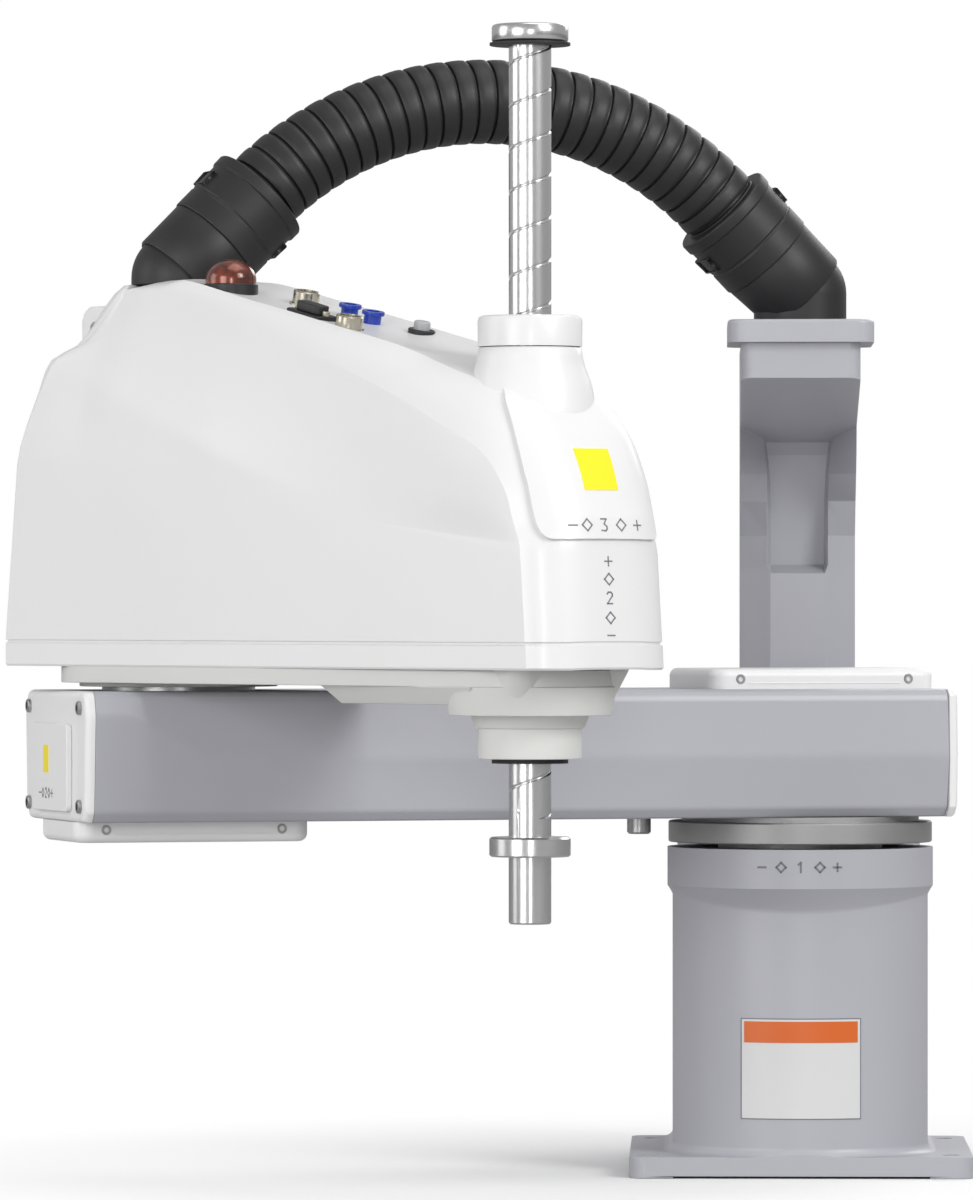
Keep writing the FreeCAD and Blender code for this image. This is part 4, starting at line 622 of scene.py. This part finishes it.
rows = [full_row(side, rear) for side, rear in ROWS]
facet = np.array([(u, -half, z) for u, half, z in ROWS[-1][0]])
facet_us = REAR_CREASE + (facet[-1, 0] - REAR_CREASE) * share
low_facet = np.stack([facet_us, np.interp(facet_us, facet[:, 0], facet[:, 1]),
                      np.interp(facet_us, facet[:, 0], facet[:, 2])], axis=1)
high_facet = shoulder * np.array([1, -1, 1])
for share_up, bulge, rear in ((0.3, 0.8, (64.5, -43.5, 47.4, 407.5, 12)),
                              (0.44, 0.9, (54, -27, 41.5, 414.5, 14)),
                              (0.72, 0.9, (42, -13, 36.4, 428, 14)),
                              (0.93, 0.3, (31.5, -6.5, 31, 440, 12))):
    line = low_facet + (high_facet - low_facet) * share_up
    line[:, 1] -= bulge * np.minimum(1, (share[-1] - share) * 12)
    near = [tuple(p) for p in line[::-1]]
    rows.append(mirrored(near + [tuple(p) for p in rear_half(near[-1], *rear)[1:]]))
near = [tuple(p) for p in high_facet[::-1]]
crown_rear = [tuple(p) for p in rear_half(near[-1], 27.0, -4.5, 26.6, 444.0, 6)[1:]]
rows.append(mirrored(near + crown_rear))
rows = np.array(rows)
side_count = len(shoulder)
columns = np.arange(rows.shape[1])
behind = np.minimum(columns - side_count + 1, rows.shape[1] - side_count - columns)
softness = np.clip(behind / 5.0, 0, 1)[:, None]
run = np.concatenate([np.zeros((1, rows.shape[1], 1)),
                      np.cumsum(np.linalg.norm(np.diff(rows, axis=0), axis=2, keepdims=True), axis=0)])
slopes = np.zeros_like(rows)
slopes[1:-1] = (rows[2:] - rows[:-2]) / (run[2:] - run[:-2])
slopes[6] = (rows[6] - rows[5]) / (run[6] - run[5]) * 0.5 + slopes[6] * 0.5
slopes[-1] = (rows[-1] - rows[-2]) / (run[-1] - run[-2])
filled = []
for index in range(len(rows) - 1):
    steps = {5: 3, 6: 4, 7: 3, 8: 2, 9: 2, 10: 2}.get(index, 1)
    low_row, high_row = rows[index], rows[index + 1]
    span = run[index + 1] - run[index]
    for step in range(steps):
        t = step / steps
        straight = low_row + (high_row - low_row) * t
        curved = ((2 * t ** 3 - 3 * t ** 2 + 1) * low_row + (t ** 3 - 2 * t ** 2 + t) * span * slopes[index]
                  + (3 * t ** 2 - 2 * t ** 3) * high_row + (t ** 3 - t ** 2) * span * slopes[index + 1])
        soft = softness if index > 5 else 0.0
        filled.append([tuple(p) for p in straight + (curved - straight) * soft])
filled.append([tuple(p) for p in rows[-1]])
hood_parts = [grid(filled)]


def strip_point(index, across):
    """Point of the top skin, across from the near shoulder (0) by the middle (2) to the far one (4)."""
    s = shoulder_all[index]
    p = panel_all[index]
    sign = -1 if across <= 2 else 1
    t = across if across <= 2 else 4 - across
    swell_strip = 2.4 * min(1, index / 18)
    if t <= 1:
        spot = s + (p - s) * t
        lift = swell_strip * 4 * t * (1 - t)
        side = Vector((0.25, 0.75, 0.6)) if index < len(shoulder) - SUB else Vector((0.7, 0.7, 0))
        spot = spot + np.array(side.normalized()) * lift * 0.8
        return np.array([spot[0], sign * spot[1], spot[2]])
    spot = np.array([p[0], p[1] * (2 - t), p[2]])
    tray = min(1.0, max(0.0, (s[0] - 20) / 25)) * min(1.0, max(0.0, (235 - s[0]) / 40))
    lift = (1.8 - 4.3 * tray) * (1 - (2 - t) ** 4)
    tilt = Vector((0.25, 0, 0.97)) if index < len(shoulder) - 2 * SUB else Vector((0.95, 0, 0.2))
    spot = spot + np.array(tilt) * lift
    return np.array([spot[0], sign * spot[1], spot[2]])


ACROSS = [0, 0.2, 0.4, 0.6, 0.8, 1, 1.25, 1.5, 1.75, 2, 2.25, 2.5, 2.75, 3, 3.2, 3.4, 3.6, 3.8, 4]
skin = [[strip_point(i, a) for a in ACROSS] for i in range(len(shoulder_all))]
hood_parts.append(grid(skin))
first = [tuple(p) for p in skin[0]]
loop = mirrored([first[0]] + crown_rear) + first[-2:0:-1]
hood_parts.append((loop, [tuple(range(len(loop)))]))
piece("hood_shell", hood_parts, "arm2", "hood_white", ("hood",), bevel=2.0, angle=13.0, segments=3)


BORDER = [(47.6, 1.16), (48, 1.1), (50, 0.95), (52, 0.84), (54, 0.73), (56, 0.63), (58, 0.56), (60, 0.505),
          (62, 0.465), (64, 0.44), (66.9, 0.43)]


def skin_point(row, across):
    """Point of the top skin between two of its rows."""
    low = int(math.floor(row))
    a = strip_point(low, across)
    return a + (strip_point(low + 1, across) - a) * (row - low)


def skin_patch(row_list, across_of, lift, sink, count=23):
    """Sheet laid on the top skin, with a rim down into it."""
    points = np.array([[skin_point(row, a) for a in np.linspace(*across_of(row), count)] for row in row_list])
    along = np.gradient(points, axis=0)
    across = np.gradient(points, axis=1)
    normal = np.cross(across, along)
    normal /= np.linalg.norm(normal, axis=2)[:, :, None]
    if normal[len(row_list) // 2, count // 2, 0] < 0:
        normal = -normal
    top = points + normal * lift
    low = points - normal * sink
    rims = [np.vstack([p[0], p[1:, -1], p[-1, ::-1][1:], p[::-1, 0][1:-1]]) for p in (top, low)]
    return [grid(top), grid(rims, closed=True)]


PANEL_LOW = 66.88
PANEL_CORNER = 1.1


def nose_border(row):
    """Both edges of the raised panel at a row, with its low corners rounded."""
    side = float(np.interp(row, *zip(*BORDER)))
    left = (PANEL_LOW - row) / PANEL_CORNER
    if left < 1:
        side += 0.3 * (1 - math.sqrt(max(0.0, 1 - (1 - left) ** 2)))
    return side, 4 - side


panel_rows = list(np.linspace(BORDER[0][0], 65.6, 30))
panel_rows += [PANEL_LOW - PANEL_CORNER * (1 - math.sin(t)) for t in np.linspace(0.05, math.pi / 2, 9)]
piece("hood_nose_panel", skin_patch(panel_rows, nose_border, 2.0, 1.5), "arm2", "hood_white", bevel=0.7,
      angle=35.0, segments=3)
piece("nose_patch", skin_patch(np.linspace(58.4, 63.2, 9), lambda row: (1.58, 2.4), 2.2, -1.7), "arm2",
      "label_yellow")


def skin_spot(row, across, lift):
    """Matrix standing on the nose, with +Y up."""
    here = skin_point(row, across)
    side = skin_point(row, across + 0.02) - here
    down = skin_point(row + 0.02, across) - here
    out = np.cross(side, down)
    out = out / np.linalg.norm(out)
    if out[0] < 0:
        out = -out
    return facing(out, here + out * lift)


MARK_LIFT, MARK_ROW = 2.0, 66.3
FACE_TOP_Z, FACE_LOW_Z, FACE_ACROSS = 310.0, 269.2, 1.97
FACE_TOP_ROW = len(shoulder) + 1
marks = []
for across, shape in ((1.15, MINUS), (1.47, DIAMOND), (1.88, THREE), (2.31, DIAMOND), (2.72, PLUS)):
    marks += strokes(shape, skin_spot(MARK_ROW, across, MARK_LIFT))
for level, shape in ((306.2, PLUS), (297.9, DIAMOND), (289.2, TWO), (280.0, DIAMOND), (271.8, MINUS)):
    row = FACE_TOP_ROW + (FACE_TOP_Z - level) / (FACE_TOP_Z - FACE_LOW_Z)
    marks += strokes(shape, skin_spot(row, FACE_ACROSS, 0.0), size=0.95)
piece("nose_marks", marks, "arm2", "mark_grey")

# Tower, collar and lug of the hood
TOOL = at(LENGTH2)
tower = [(12.2, 407.0), (23.6, 407.0), (24.4, 406.2), (24.9, 402), (26.2, 397), (28.6, 391), (30.6, 383),
         (31.8, 372), (32.6, 352), (28, 352), (12.2, 380)]
piece("hood_tower", [lathe(tower, TOOL, 96, loop=True)], "arm2", "hood_white", angle=40)
collar = [(12.0, 409), (23.4, 409), (23.4, 407.4), (24.5, 407.4), (24.6, 419.4), (24.0, 421.2), (22.4, 421.9),
          (14.0, 421.9), (13.0, 421.2), (12.0, 419)]
piece("tower_collar", [lathe(collar, TOOL, 96, loop=True)], "arm2", "hood_white", ("top_collar",), angle=40)
EAR_HALF = 13.0
ear = prism([(-64, 405), (-30, 405), (-30, 435), (-58, 435), (-62, 432.5), (-64, 428)], -EAR_HALF, EAR_HALF,
            Matrix.Rotation(math.radians(90), 4, "X"))
piece("hood_ear", [ear], "arm2", "hood_white", bevel=1.6, segments=3)
NEAR_SIDE = (0, -1, 0)
ear_screw = screw_at(facing(NEAR_SIDE, (-52, -EAR_HALF, 424)), 3.2, 1.2)
piece("hood_screws", [ear_screw], "arm2", "machined_steel")

# Nose of the casting under the hood
NOSE_FOOT_Z, NOSE_FOOT_RADIUS = 234.0, 22.0
# Each section: height, reach to the front, half width, reach to the rear and corner.
NOSE_SECTIONS = [(256.0, 34.5, 36.0, 30.5, 8.0), (254.5, 34.3, 35.8, 30.3, 9.0),
                 (240.0, 28.6, 31.2, 27.3, 10.0), (236.2, 26.6, 29.6, 25.8, 9.5),
                 (234.4, 24.0, 27.2, 23.4, 8.5)]
nose_rows = []
for level, front, half, rear, corner in NOSE_SECTIONS:
    centre = LENGTH2 + (front - rear) / 2
    nose_rows.append([(centre + x, y, level) for x, y in rounded(front + rear, 2 * half, corner, 8)])
turns = np.linspace(0, 2 * math.pi, len(nose_rows[0]), endpoint=False)
nose_rows.append([(LENGTH2 + NOSE_FOOT_RADIUS * math.cos(t), NOSE_FOOT_RADIUS * math.sin(t), NOSE_FOOT_Z)
                  for t in turns])
piece("casting_nose", [grid(nose_rows, closed=True)], "arm2", "cast_light", bevel=0.6, angle=24)
screws = [screw_at(facing(NEAR_SIDE, (236.0, -35.6, 250.8)), 2.6, 2.0),
          screw_at(facing(NEAR_SIDE, (166.0, -35.2, 251.0)), 2.4, 1.6)]
piece("casting_screws", screws, "arm2", "machined_steel", angle=35)

# Fittings on the sloping top
def quarter(radius, start, rise):
    """Profile of a dome over a straight wall, from the wall up to the axis."""
    return [(radius * math.cos(t), start + rise * math.sin(t)) for t in np.linspace(0, math.pi / 2, 14)]


FALL = 0.214
ROOF_U, ROOF_Z = 46.0, 441.6
LAMP = at(56, -10, 442)
LENS_RADIUS, LENS_LOW, LENS_RISE = 12.5, 3.0, 10.2


def roof(u, v, lift=0.0):
    """Matrix standing on the sloping top panel."""
    return at(u, v, ROOF_Z - FALL * (u - ROOF_U) + lift) @ Matrix.Rotation(math.atan(FALL), 4, "Y")


def fittings(name, profile, spots, slot, hides, count, body="arm2", angle=35):
    """Turned pieces of one profile at several spots."""
    piece(name, [lathe(profile, spot, count) for spot in spots], body, slot, hides, angle=angle)


foot = [(0, -8), (13.4, -8), (13.4, 0.4), (12.8, 1.0), (0, 1.0)]
fittings("lamp_foot", foot, [LAMP], "connector_black", ("lamp_base",), 64)
dome = [(12.4, 0.8), (LENS_RADIUS, LENS_LOW)] + quarter(LENS_RADIUS, LENS_LOW, LENS_RISE)
fittings("lamp_lens", dome, [LAMP], "amber_lens", ("lamp_dome",), 64, angle=50)
plug = [(0, -6), (7.8, -6), (7.8, 1.2), (6.5, 1.2), (6.5, 6.8), (6.0, 7.4), (4.8, 7.4), (4.6, 3.0), (0, 3.0)]
fittings("round_plugs", plug, [roof(92, 8), roof(158, -17)], "fitting_nickel", ("round_connectors",), 40)
blue = [(0, -6), (4.2, -6), (4.2, 5.2), (5.4, 5.2), (5.6, 5.8), (5.4, 7.0), (3.2, 7.0), (2.9, 1.0), (0, 1.0)]
fittings("air_plugs", blue, [roof(124, 10), roof(142, 10)], "fitting_blue", ("user_air_fittings",), 32)
BLOCK = roof(128, -16)
shell = [prism(rounded(26, 14, 3), -6, 3.2, BLOCK), prism(rounded(19, 8, 3), 3.2, 7.6, BLOCK)]
piece("block_plug", shell, "arm2", "connector_black", ("dsub_connector",), bevel=0.5)
nuts = [lathe([(0, 3.2), (1.9, 3.2), (1.9, 5.6), (0, 5.6)], BLOCK @ at(x), 6) for x in (-11, 11)]
piece("block_nuts", nuts, "arm2", "fitting_nickel", bevel=0.2)
button = [(0, -6), (4.0, -6), (4.0, 3.6), (3.4, 4.2), (0, 4.2)]
fittings("release_button", button, [roof(168, 20, 3)], "button_grey", ("brake_button",), 40, "brake_button")
bezel = ring_of(6.6, 4.4, -1, 1.6, roof(168, 20, 1.6), 40)
piece("button_bezel", [bezel], "arm2", "connector_black", bevel=0.4)

# Cable duct
LOW_CORNER, HIGH_CORNER = 443.6, 448.0
POST_SEAT, HOOD_SEAT = 429.6, 444.1
FOOT_RADIUS = 23.4
BARREL_RUN, SLEEVE_RUN = 25.5, 34.0
SLEEVE_HOLD = 8.0
PITCH = 9.7
# Each point of a rib: share of the pitch and radius.
RIB = [(0.0, 18.9), (0.05, 18.9), (0.075, 20.7), (0.12, 21.0), (0.3, 21.15), (0.6, 21.05), (0.86, 20.8),
       (0.905, 20.4), (0.93, 18.9)]
DIAGONAL = math.sqrt(0.5)
reach = (BARREL_RUN + SLEEVE_RUN) * DIAGONAL
chord = LENGTH1 - 2 * reach
drop = HIGH_CORNER - LOW_CORNER
middle = ((LENGTH1 + drop) / 2, (LOW_CORNER + HIGH_CORNER - chord) / 2 + reach)
bow = math.hypot(chord, drop) * DIAGONAL
tilt = math.degrees(math.atan2(drop, chord))
inside = math.degrees(SLEEVE_HOLD / bow)
swing = 90 + 2 * inside
ribs = int(round(math.radians(swing) * bow / PITCH))
rib_path, rib_radii = [], []
for rib in range(ribs):
    for part, radius in RIB:
        turn = math.radians(135 + tilt + inside - swing * (rib + part) / ribs)
        rib_path.append((middle[0] + bow * math.cos(turn), middle[1] + bow * math.sin(turn)))
        rib_radii.append(radius)
piece("duct_ribs", [sweep(rib_path, rib_radii, 56)], "arm1", "duct_black", ("duct_conduit",), angle=38)


def slanted(lean, start, corner, along=0.0):
    """Matrix on the slanted axis of an elbow, at a length along it."""
    step = DIAGONAL * along
    return facing((lean * DIAGONAL, 0, DIAGONAL), (start + lean * step, 0, corner + step))


def elbow_parts(start, corner, seat, slant):
    """Upright foot, ball at the corner and the wide slanted barrel, all cut off at the seat."""
    foot = [(0, seat), (FOOT_RADIUS - 0.4, seat), (FOOT_RADIUS, seat + 0.4), (FOOT_RADIUS, corner),
            (0, corner)]
    ball = quarter(FOOT_RADIUS, corner, FOOT_RADIUS)
    barrel = [(0, -0.5), (24.6, -0.5), (25.2, 0.3), (25.3, BARREL_RUN - 0.6), (25.0, BARREL_RUN),
              (0, BARREL_RUN)]
    corners, faces = lathe(barrel, slant, 96)
    barrel = [(x, y, max(z, seat)) for x, y, z in corners], faces
    return [lathe(foot, at(start), 96), lathe(ball, at(start), 96), barrel]


def sleeve_parts(spot):
    """Clamping sleeve with a lip, and a raised frame on each side."""
    sleeve = [(17.5, 0), (25.4, 0), (26.0, 0.5), (26.0, 11.2), (25.5, 11.6), (25.5, 12.6), (26.0, 13.0),
              (26.0, 27.6), (26.9, 28.2), (27.0, 33.0), (26.4, SLEEVE_RUN), (20.4, SLEEVE_RUN), (20.4, 24),
              (17.5, 24)]
    parts = [lathe(sleeve, spot, 96, loop=True)]
    bars = ((-9, 9, 14.5, 15.3), (-9, 9, 22.7, 23.5), (-9, -8.2, 15.3, 22.7), (8.2, 9, 15.3, 22.7))
    for y_low, y_high in ((-26.35, -23.0), (23.0, 26.35)):
        for x_low, x_high, z_low, z_high in bars:
            parts.append(block(x_low, x_high, y_low, y_high, z_low, z_high, spot))
    return parts


for end, start, corner, seat, lean in (("post", 0.0, LOW_CORNER, POST_SEAT, 1),
                                       ("hood", LENGTH1, HIGH_CORNER, HOOD_SEAT, -1)):
    bend = elbow_parts(start, corner, seat, slanted(lean, start, corner))
    piece(end + "_bend", bend, "arm1", "duct_black", (end + "_elbow",), angle=38)
    sleeve = sleeve_parts(slanted(lean, start, corner, BARREL_RUN))
    piece(end + "_sleeve", sleeve, "arm1", "duct_black", (end + "_coupling",), bevel=0.3, angle=35)

# Tool shaft
SHAFT_RADIUS, SHAFT_BORE = 10.0, 5.5
SHAFT_LOW, GROOVES_LOW, SHAFT_HIGH = 136.6, 186.0, 550.5
LEAD = 20.0
SPLINE_TURNS = (47.6, 167.6, 287.6)
SPLINE_DEPTH = 0.6
# Height past the groove's middle, and depth there.
GROOVE = [(-1.0, 0.0), (-0.75, 0.45), (-0.4, 0.75), (0.0, 0.85), (0.4, 0.75), (0.75, 0.45), (1.0, 0.0),
          (4.0, 0.0), (9.0, 0.0), (14.0, 0.0)]


def grooved_shaft(around=120):
    """Hollow shaft with a screw groove and three spline grooves above the stop ring."""
    splines = {round(around * turn / 360) for turn in SPLINE_TURNS}
    rows = []
    for level in range(-1, int((SHAFT_HIGH - GROOVES_LOW) / LEAD) + 2):
        for height, depth in GROOVE:
            row = []
            for step in range(around + 1):
                turn = 2 * math.pi * step / around
                z = GROOVES_LOW + level * LEAD + height + LEAD * step / around
                cut = 0.0
                if GROOVES_LOW < z < SHAFT_HIGH:
                    cut = max(depth, SPLINE_DEPTH if step % around in splines else 0.0)
                radius = SHAFT_RADIUS - cut
                z = min(max(z, GROOVES_LOW), SHAFT_HIGH)
                row.append((radius * math.cos(turn), radius * math.sin(turn), z))
            rows.append(row)
    edge = SHAFT_RADIUS - 0.8
    plain = [(edge, SHAFT_LOW), (SHAFT_RADIUS, SHAFT_LOW + 0.8), (SHAFT_RADIUS, GROOVES_LOW)]
    ends = [(edge, SHAFT_LOW), (SHAFT_BORE, SHAFT_LOW), (SHAFT_BORE, SHAFT_HIGH), (SHAFT_RADIUS, SHAFT_HIGH)]
    return [moved(grid(rows), TOOL), lathe(plain, TOOL, around), lathe(ends, TOOL, around)]


piece("spindle", grooved_shaft(), "tool_shaft", "shaft_steel", ("shaft",), angle=30)
cap = [(5.5, 558.3), (5.9, 558.5), (16.4, 558.5), (17.4, 558.1), (18.0, 557.2), (18.0, 551.2), (17.4, 550.3),
       (16.6, 550.0), (10.0, 550.0), (5.5, 550.2)]
piece("cap", [lathe(cap, TOOL, 96, loop=True)], "tool_shaft", "shaft_steel", ("top_cap",), angle=40)
bumper = ring_of(19.0, 10.1, 548.5, 550.0, TOOL, 96)
piece("bumper", [bumper], "tool_shaft", "seal_rubber", ("cap_bumper",), bevel=0.3)
stop = [(10.0, 168.2), (18.2, 168.2), (19.1, 169.0), (19.1, 176.6), (18.2, 177.5), (10.0, 177.5)]
piece("stopper", [lathe(stop, TOOL, 96, loop=True)], "tool_shaft", "shaft_steel", ("stop_ring",), angle=40)

# Arm 1
LOW1, HIGH1 = 180.0, 244.0
REAR1, FRONT1 = -58.0, 383.0
CREASE1, CREASE_RISE = 211.0, 20.0
FLARE_START, FLARE_LENGTH = 316.0, 56.0


def arm1_ring(x, flare):
    """Section of arm 1 at x; flare 0 to 1 swells the lower half out near the second axis."""
    crease = CREASE1 + CREASE_RISE * flare
    half = [(0, LOW1), (53.0, LOW1), (55.0, LOW1 + 0.3), (58.8, LOW1 + 4.6), (59.3, LOW1 + 6.5),
            (61.85, crease - 2.5), (62.0, crease), (61.8, crease + 2.5), (60.2, HIGH1 - 5.4),
            (59.4, HIGH1 - 2.6), (57.4, HIGH1 - 0.7), (55.0, HIGH1), (0, HIGH1)]
    return [(x, -y, z) for y, z in half] + [(x, y, z) for y, z in half[-2:0:-1]]


def flare_at(x):
    """Swell of arm 1 at x, from 0 to 1."""
    share = min(1.0, max(0.0, (x - FLARE_START) / FLARE_LENGTH))
    return math.sin(share * math.pi / 2) ** 2


def end_face(ring):
    """Flat face that closes a ring of points."""
    return ring, [tuple(range(len(ring)))]


stations = [REAR1, -40, 60, 160, 250, 300, *np.linspace(FLARE_START, FLARE_START + FLARE_LENGTH, 12), FRONT1]
arm_rows = [arm1_ring(x, flare_at(x)) for x in stations]
arm_parts = [grid(arm_rows, closed=True), end_face(arm_rows[0]), end_face(arm_rows[-1])]
piece("arm1_body", arm_parts, "arm1", "base_paint", ("arm1_casting",), bevel=0.8, angle=9.0)

# End cover of arm 1 over the second axis
COVER_FACE, COVER_MIDDLE = 388.0, 212.0
ONWARD, BACKWARD = (1, 0, 0), (-1, 0, 0)
# Each ring: place along the arm, share of the width and share of the height.
COVER_RINGS = [(FRONT1, 1, 1), (385.2, 1, 1), (387.2, 0.985, 0.975), (COVER_FACE, 0.955, 0.93)]
rings = []
for x, wide, tall in COVER_RINGS:
    rings.append([(x, y * wide, COVER_MIDDLE + (z - COVER_MIDDLE) * tall) for _, y, z in arm1_ring(x, 1.0)])
face = at(COVER_FACE, 0, 206.5) @ facing(ONWARD) @ Matrix.Rotation(math.radians(90), 4, "Z")
raised = prism(rounded(43, 70, 4), 0, 3.0, face)
piece("arm1_end_plate", [grid(rings, closed=True), end_face(rings[-1]), raised], "arm1", "cover_white",
      ("arm1_outer_end_cover",), bevel=0.7, angle=24, segments=3)
ends = []
for y in (-51, 51):
    for z in (188, 236):
        ends.append(screw_at(facing(ONWARD, (COVER_FACE, y, z)), 3.4, 1.8))
        ends.append(screw_at(facing(BACKWARD, (-63.0, y, z)), 3.4, 1.8))
piece("arm1_screws", ends, "arm1", "machined_steel", ("arm1_cover_screws",), angle=35)
PLATE_FACE, PATCH_Y, END_MARKS_Z = 391.0, -6.0, 193.6
patch = block(-5.0, 5.0, -6.8, 6.8, -0.2, 0.2, facing(ONWARD, (PLATE_FACE, PATCH_Y, 210.4)))
piece("end_patch", [patch], "arm1", "label_yellow")
marks = []
for step, shape in enumerate((MINUS, DIAMOND, TWO, DIAMOND, PLUS), -2):
    marks += strokes(shape, facing(ONWARD, (PLATE_FACE, PATCH_Y + 6 * step, END_MARKS_Z)), size=0.8)
piece("end_marks", marks, "arm1", "mark_grey")

# Screws and ribs on the flanks of the top and bottom covers
COVER_HALF = 37.6
covers, lines = [], []
for middle, level, line in ((0.0, 249.0, 246.6), (LENGTH1 + 2.0, 176.2, 173.4)):
    for side in (-1, 1):
        for along in (-44.5, 44.5):
            spot = (middle + along, side * COVER_HALF, level)
            covers.append(screw_at(facing((0, side, 0), spot), 2.5, 0.9))
        near, far = sorted((side * (COVER_HALF + 0.2), side * (COVER_HALF + 0.7)))
        lines.append(block(middle - 40, middle + 40, near, far, line, line + 0.7))
piece("cover_screws", covers, "arm1", "machined_steel", angle=35)
piece("cover_ribs", lines, "arm1", "cover_white", bevel=0.15)


# Floor, light and camera
def placed(name, data, spot=(0, 0, 0)):
    """Object of the data, linked to the scene at a spot."""
    item = bpy.data.objects.new(name, data)
    bpy.context.scene.collection.objects.link(item)
    item.location = spot
    return item


def lamp_area(name, spot, target, width, height, power):
    """Soft rectangular light that looks at its target."""
    data = bpy.data.lights.new(name, "AREA")
    data.shape = "RECTANGLE"
    data.size = width
    data.size_y = height
    data.energy = power
    item = placed(name, data, spot)
    item.rotation_euler = (Vector(target) - Vector(spot)).to_track_quat("-Z", "Y").to_euler()


CENTRE = (-0.1, -0.1, 0.3)
lamp_area("strip", (-1.75, -2.5, 0.72), (0, -0.05, 0.12), 1.25, 1.4, 27)
lamp_area("front", (1.9, -2.0, 1.75), (-0.1, 0, 0.3), 1.1, 1.2, 52)
lamp_area("axis", (0.15, -4.7, 0.7), (0.05, 0, 0.2), 0.5, 1.4, 26)
lamp_area("left", (-2.8, -0.4, 0.9), CENTRE, 1.2, 1.6, 14)
lamp_area("top", (0.35, -0.3, 2.7), CENTRE, 2.0, 1.6, 16)
lamp_area("back", (0.9, 2.2, 1.6), CENTRE, 1.6, 1.2, 18)

FLOOR_REACH, FLOOR_Z = 14.0, -0.0002
floor_mesh = bpy.data.meshes.new("floor")
low, high = -FLOOR_REACH, FLOOR_REACH
corners = [(x, y, FLOOR_Z) for x, y in ((low, low), (high, low), (high, high), (low, high))]
floor_mesh.from_pydata(corners, [], [(0, 1, 2, 3)])
floor = placed("floor", floor_mesh)
paper = bpy.data.materials.new("floor_paper")
paper.use_nodes = True
tree = paper.node_tree
tree.nodes.clear()
link = tree.links.new
out = node(tree, "ShaderNodeOutputMaterial", 800, 0)
mix = node(tree, "ShaderNodeMixShader", 600, 0)
matte = node(tree, "ShaderNodeBsdfDiffuse", 300, -100)
grey = node(tree, "ShaderNodeMix", 100, -100)
grey.data_type = "RGBA"
grey.inputs["A"].default_value = (0.42, 0.42, 0.42, 1)
grey.inputs["B"].default_value = (0.86, 0.86, 0.86, 1)
glow = node(tree, "ShaderNodeEmission", 300, 100, Strength=1.0)
where = node(tree, "ShaderNodeTexCoord", -700, 0)
away = node(tree, "ShaderNodeVectorMath", -500, 0)
away.operation = "LENGTH"
fade = node(tree, "ShaderNodeMapRange", -300, 0, From_Min=0.16, From_Max=0.5)
rays = node(tree, "ShaderNodeLightPath", -300, 300)
both = node(tree, "ShaderNodeMath", 0, 200)
both.operation = "MULTIPLY"
link(where.outputs["Object"], away.inputs[0])
link(away.outputs["Value"], fade.inputs["Value"])
link(rays.outputs["Is Camera Ray"], both.inputs[0])
link(fade.outputs[0], both.inputs[1])
link(rays.outputs["Is Camera Ray"], grey.inputs["Factor"])
link(grey.outputs["Result"], matte.inputs["Color"])
link(both.outputs[0], mix.inputs[0])
link(matte.outputs[0], mix.inputs[1])
link(glow.outputs[0], mix.inputs[2])
link(mix.outputs[0], out.inputs[0])
floor_mesh.materials.append(paper)
floor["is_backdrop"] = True

WHITE = (1, 1, 1, 1)
world = bpy.data.worlds.new("studio")
bpy.context.scene.world = world
world.use_nodes = True
tree = world.node_tree
tree.nodes.clear()
link = tree.links.new
out = node(tree, "ShaderNodeOutputWorld", 600, 0)
mix = node(tree, "ShaderNodeMixShader", 400, 0)
room = node(tree, "ShaderNodeBackground", 100, -100, Color=WHITE, Strength=0.5)
white = node(tree, "ShaderNodeBackground", 100, 100, Color=WHITE)
rays = node(tree, "ShaderNodeLightPath", -200, 200)
link(rays.outputs["Is Camera Ray"], mix.inputs[0])
link(room.outputs[0], mix.inputs[1])
link(white.outputs[0], mix.inputs[2])
link(mix.outputs[0], out.inputs[0])

# Focal length, frame and the column that the camera faces, in pixels of the photograph.
FOCAL_PX = 8350.0
WIDTH_PX, HEIGHT_PX = 973, 1200
SIGHT_PX = 705
SENSOR = 36.0
lens = bpy.data.cameras.new("camera")
lens.sensor_fit = "VERTICAL"
lens.sensor_width = lens.sensor_height = SENSOR
lens.lens = FOCAL_PX / HEIGHT_PX * SENSOR
lens.clip_end = 50.0
camera = placed("camera", lens, (-0.0481, -4.2276, 0.2886))
camera.rotation_euler = (math.radians(90), 0, math.atan((SIGHT_PX - WIDTH_PX / 2) / FOCAL_PX))
bpy.context.scene.camera = camera
bpy.context.scene.view_settings.view_transform = "Standard"

low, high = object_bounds()
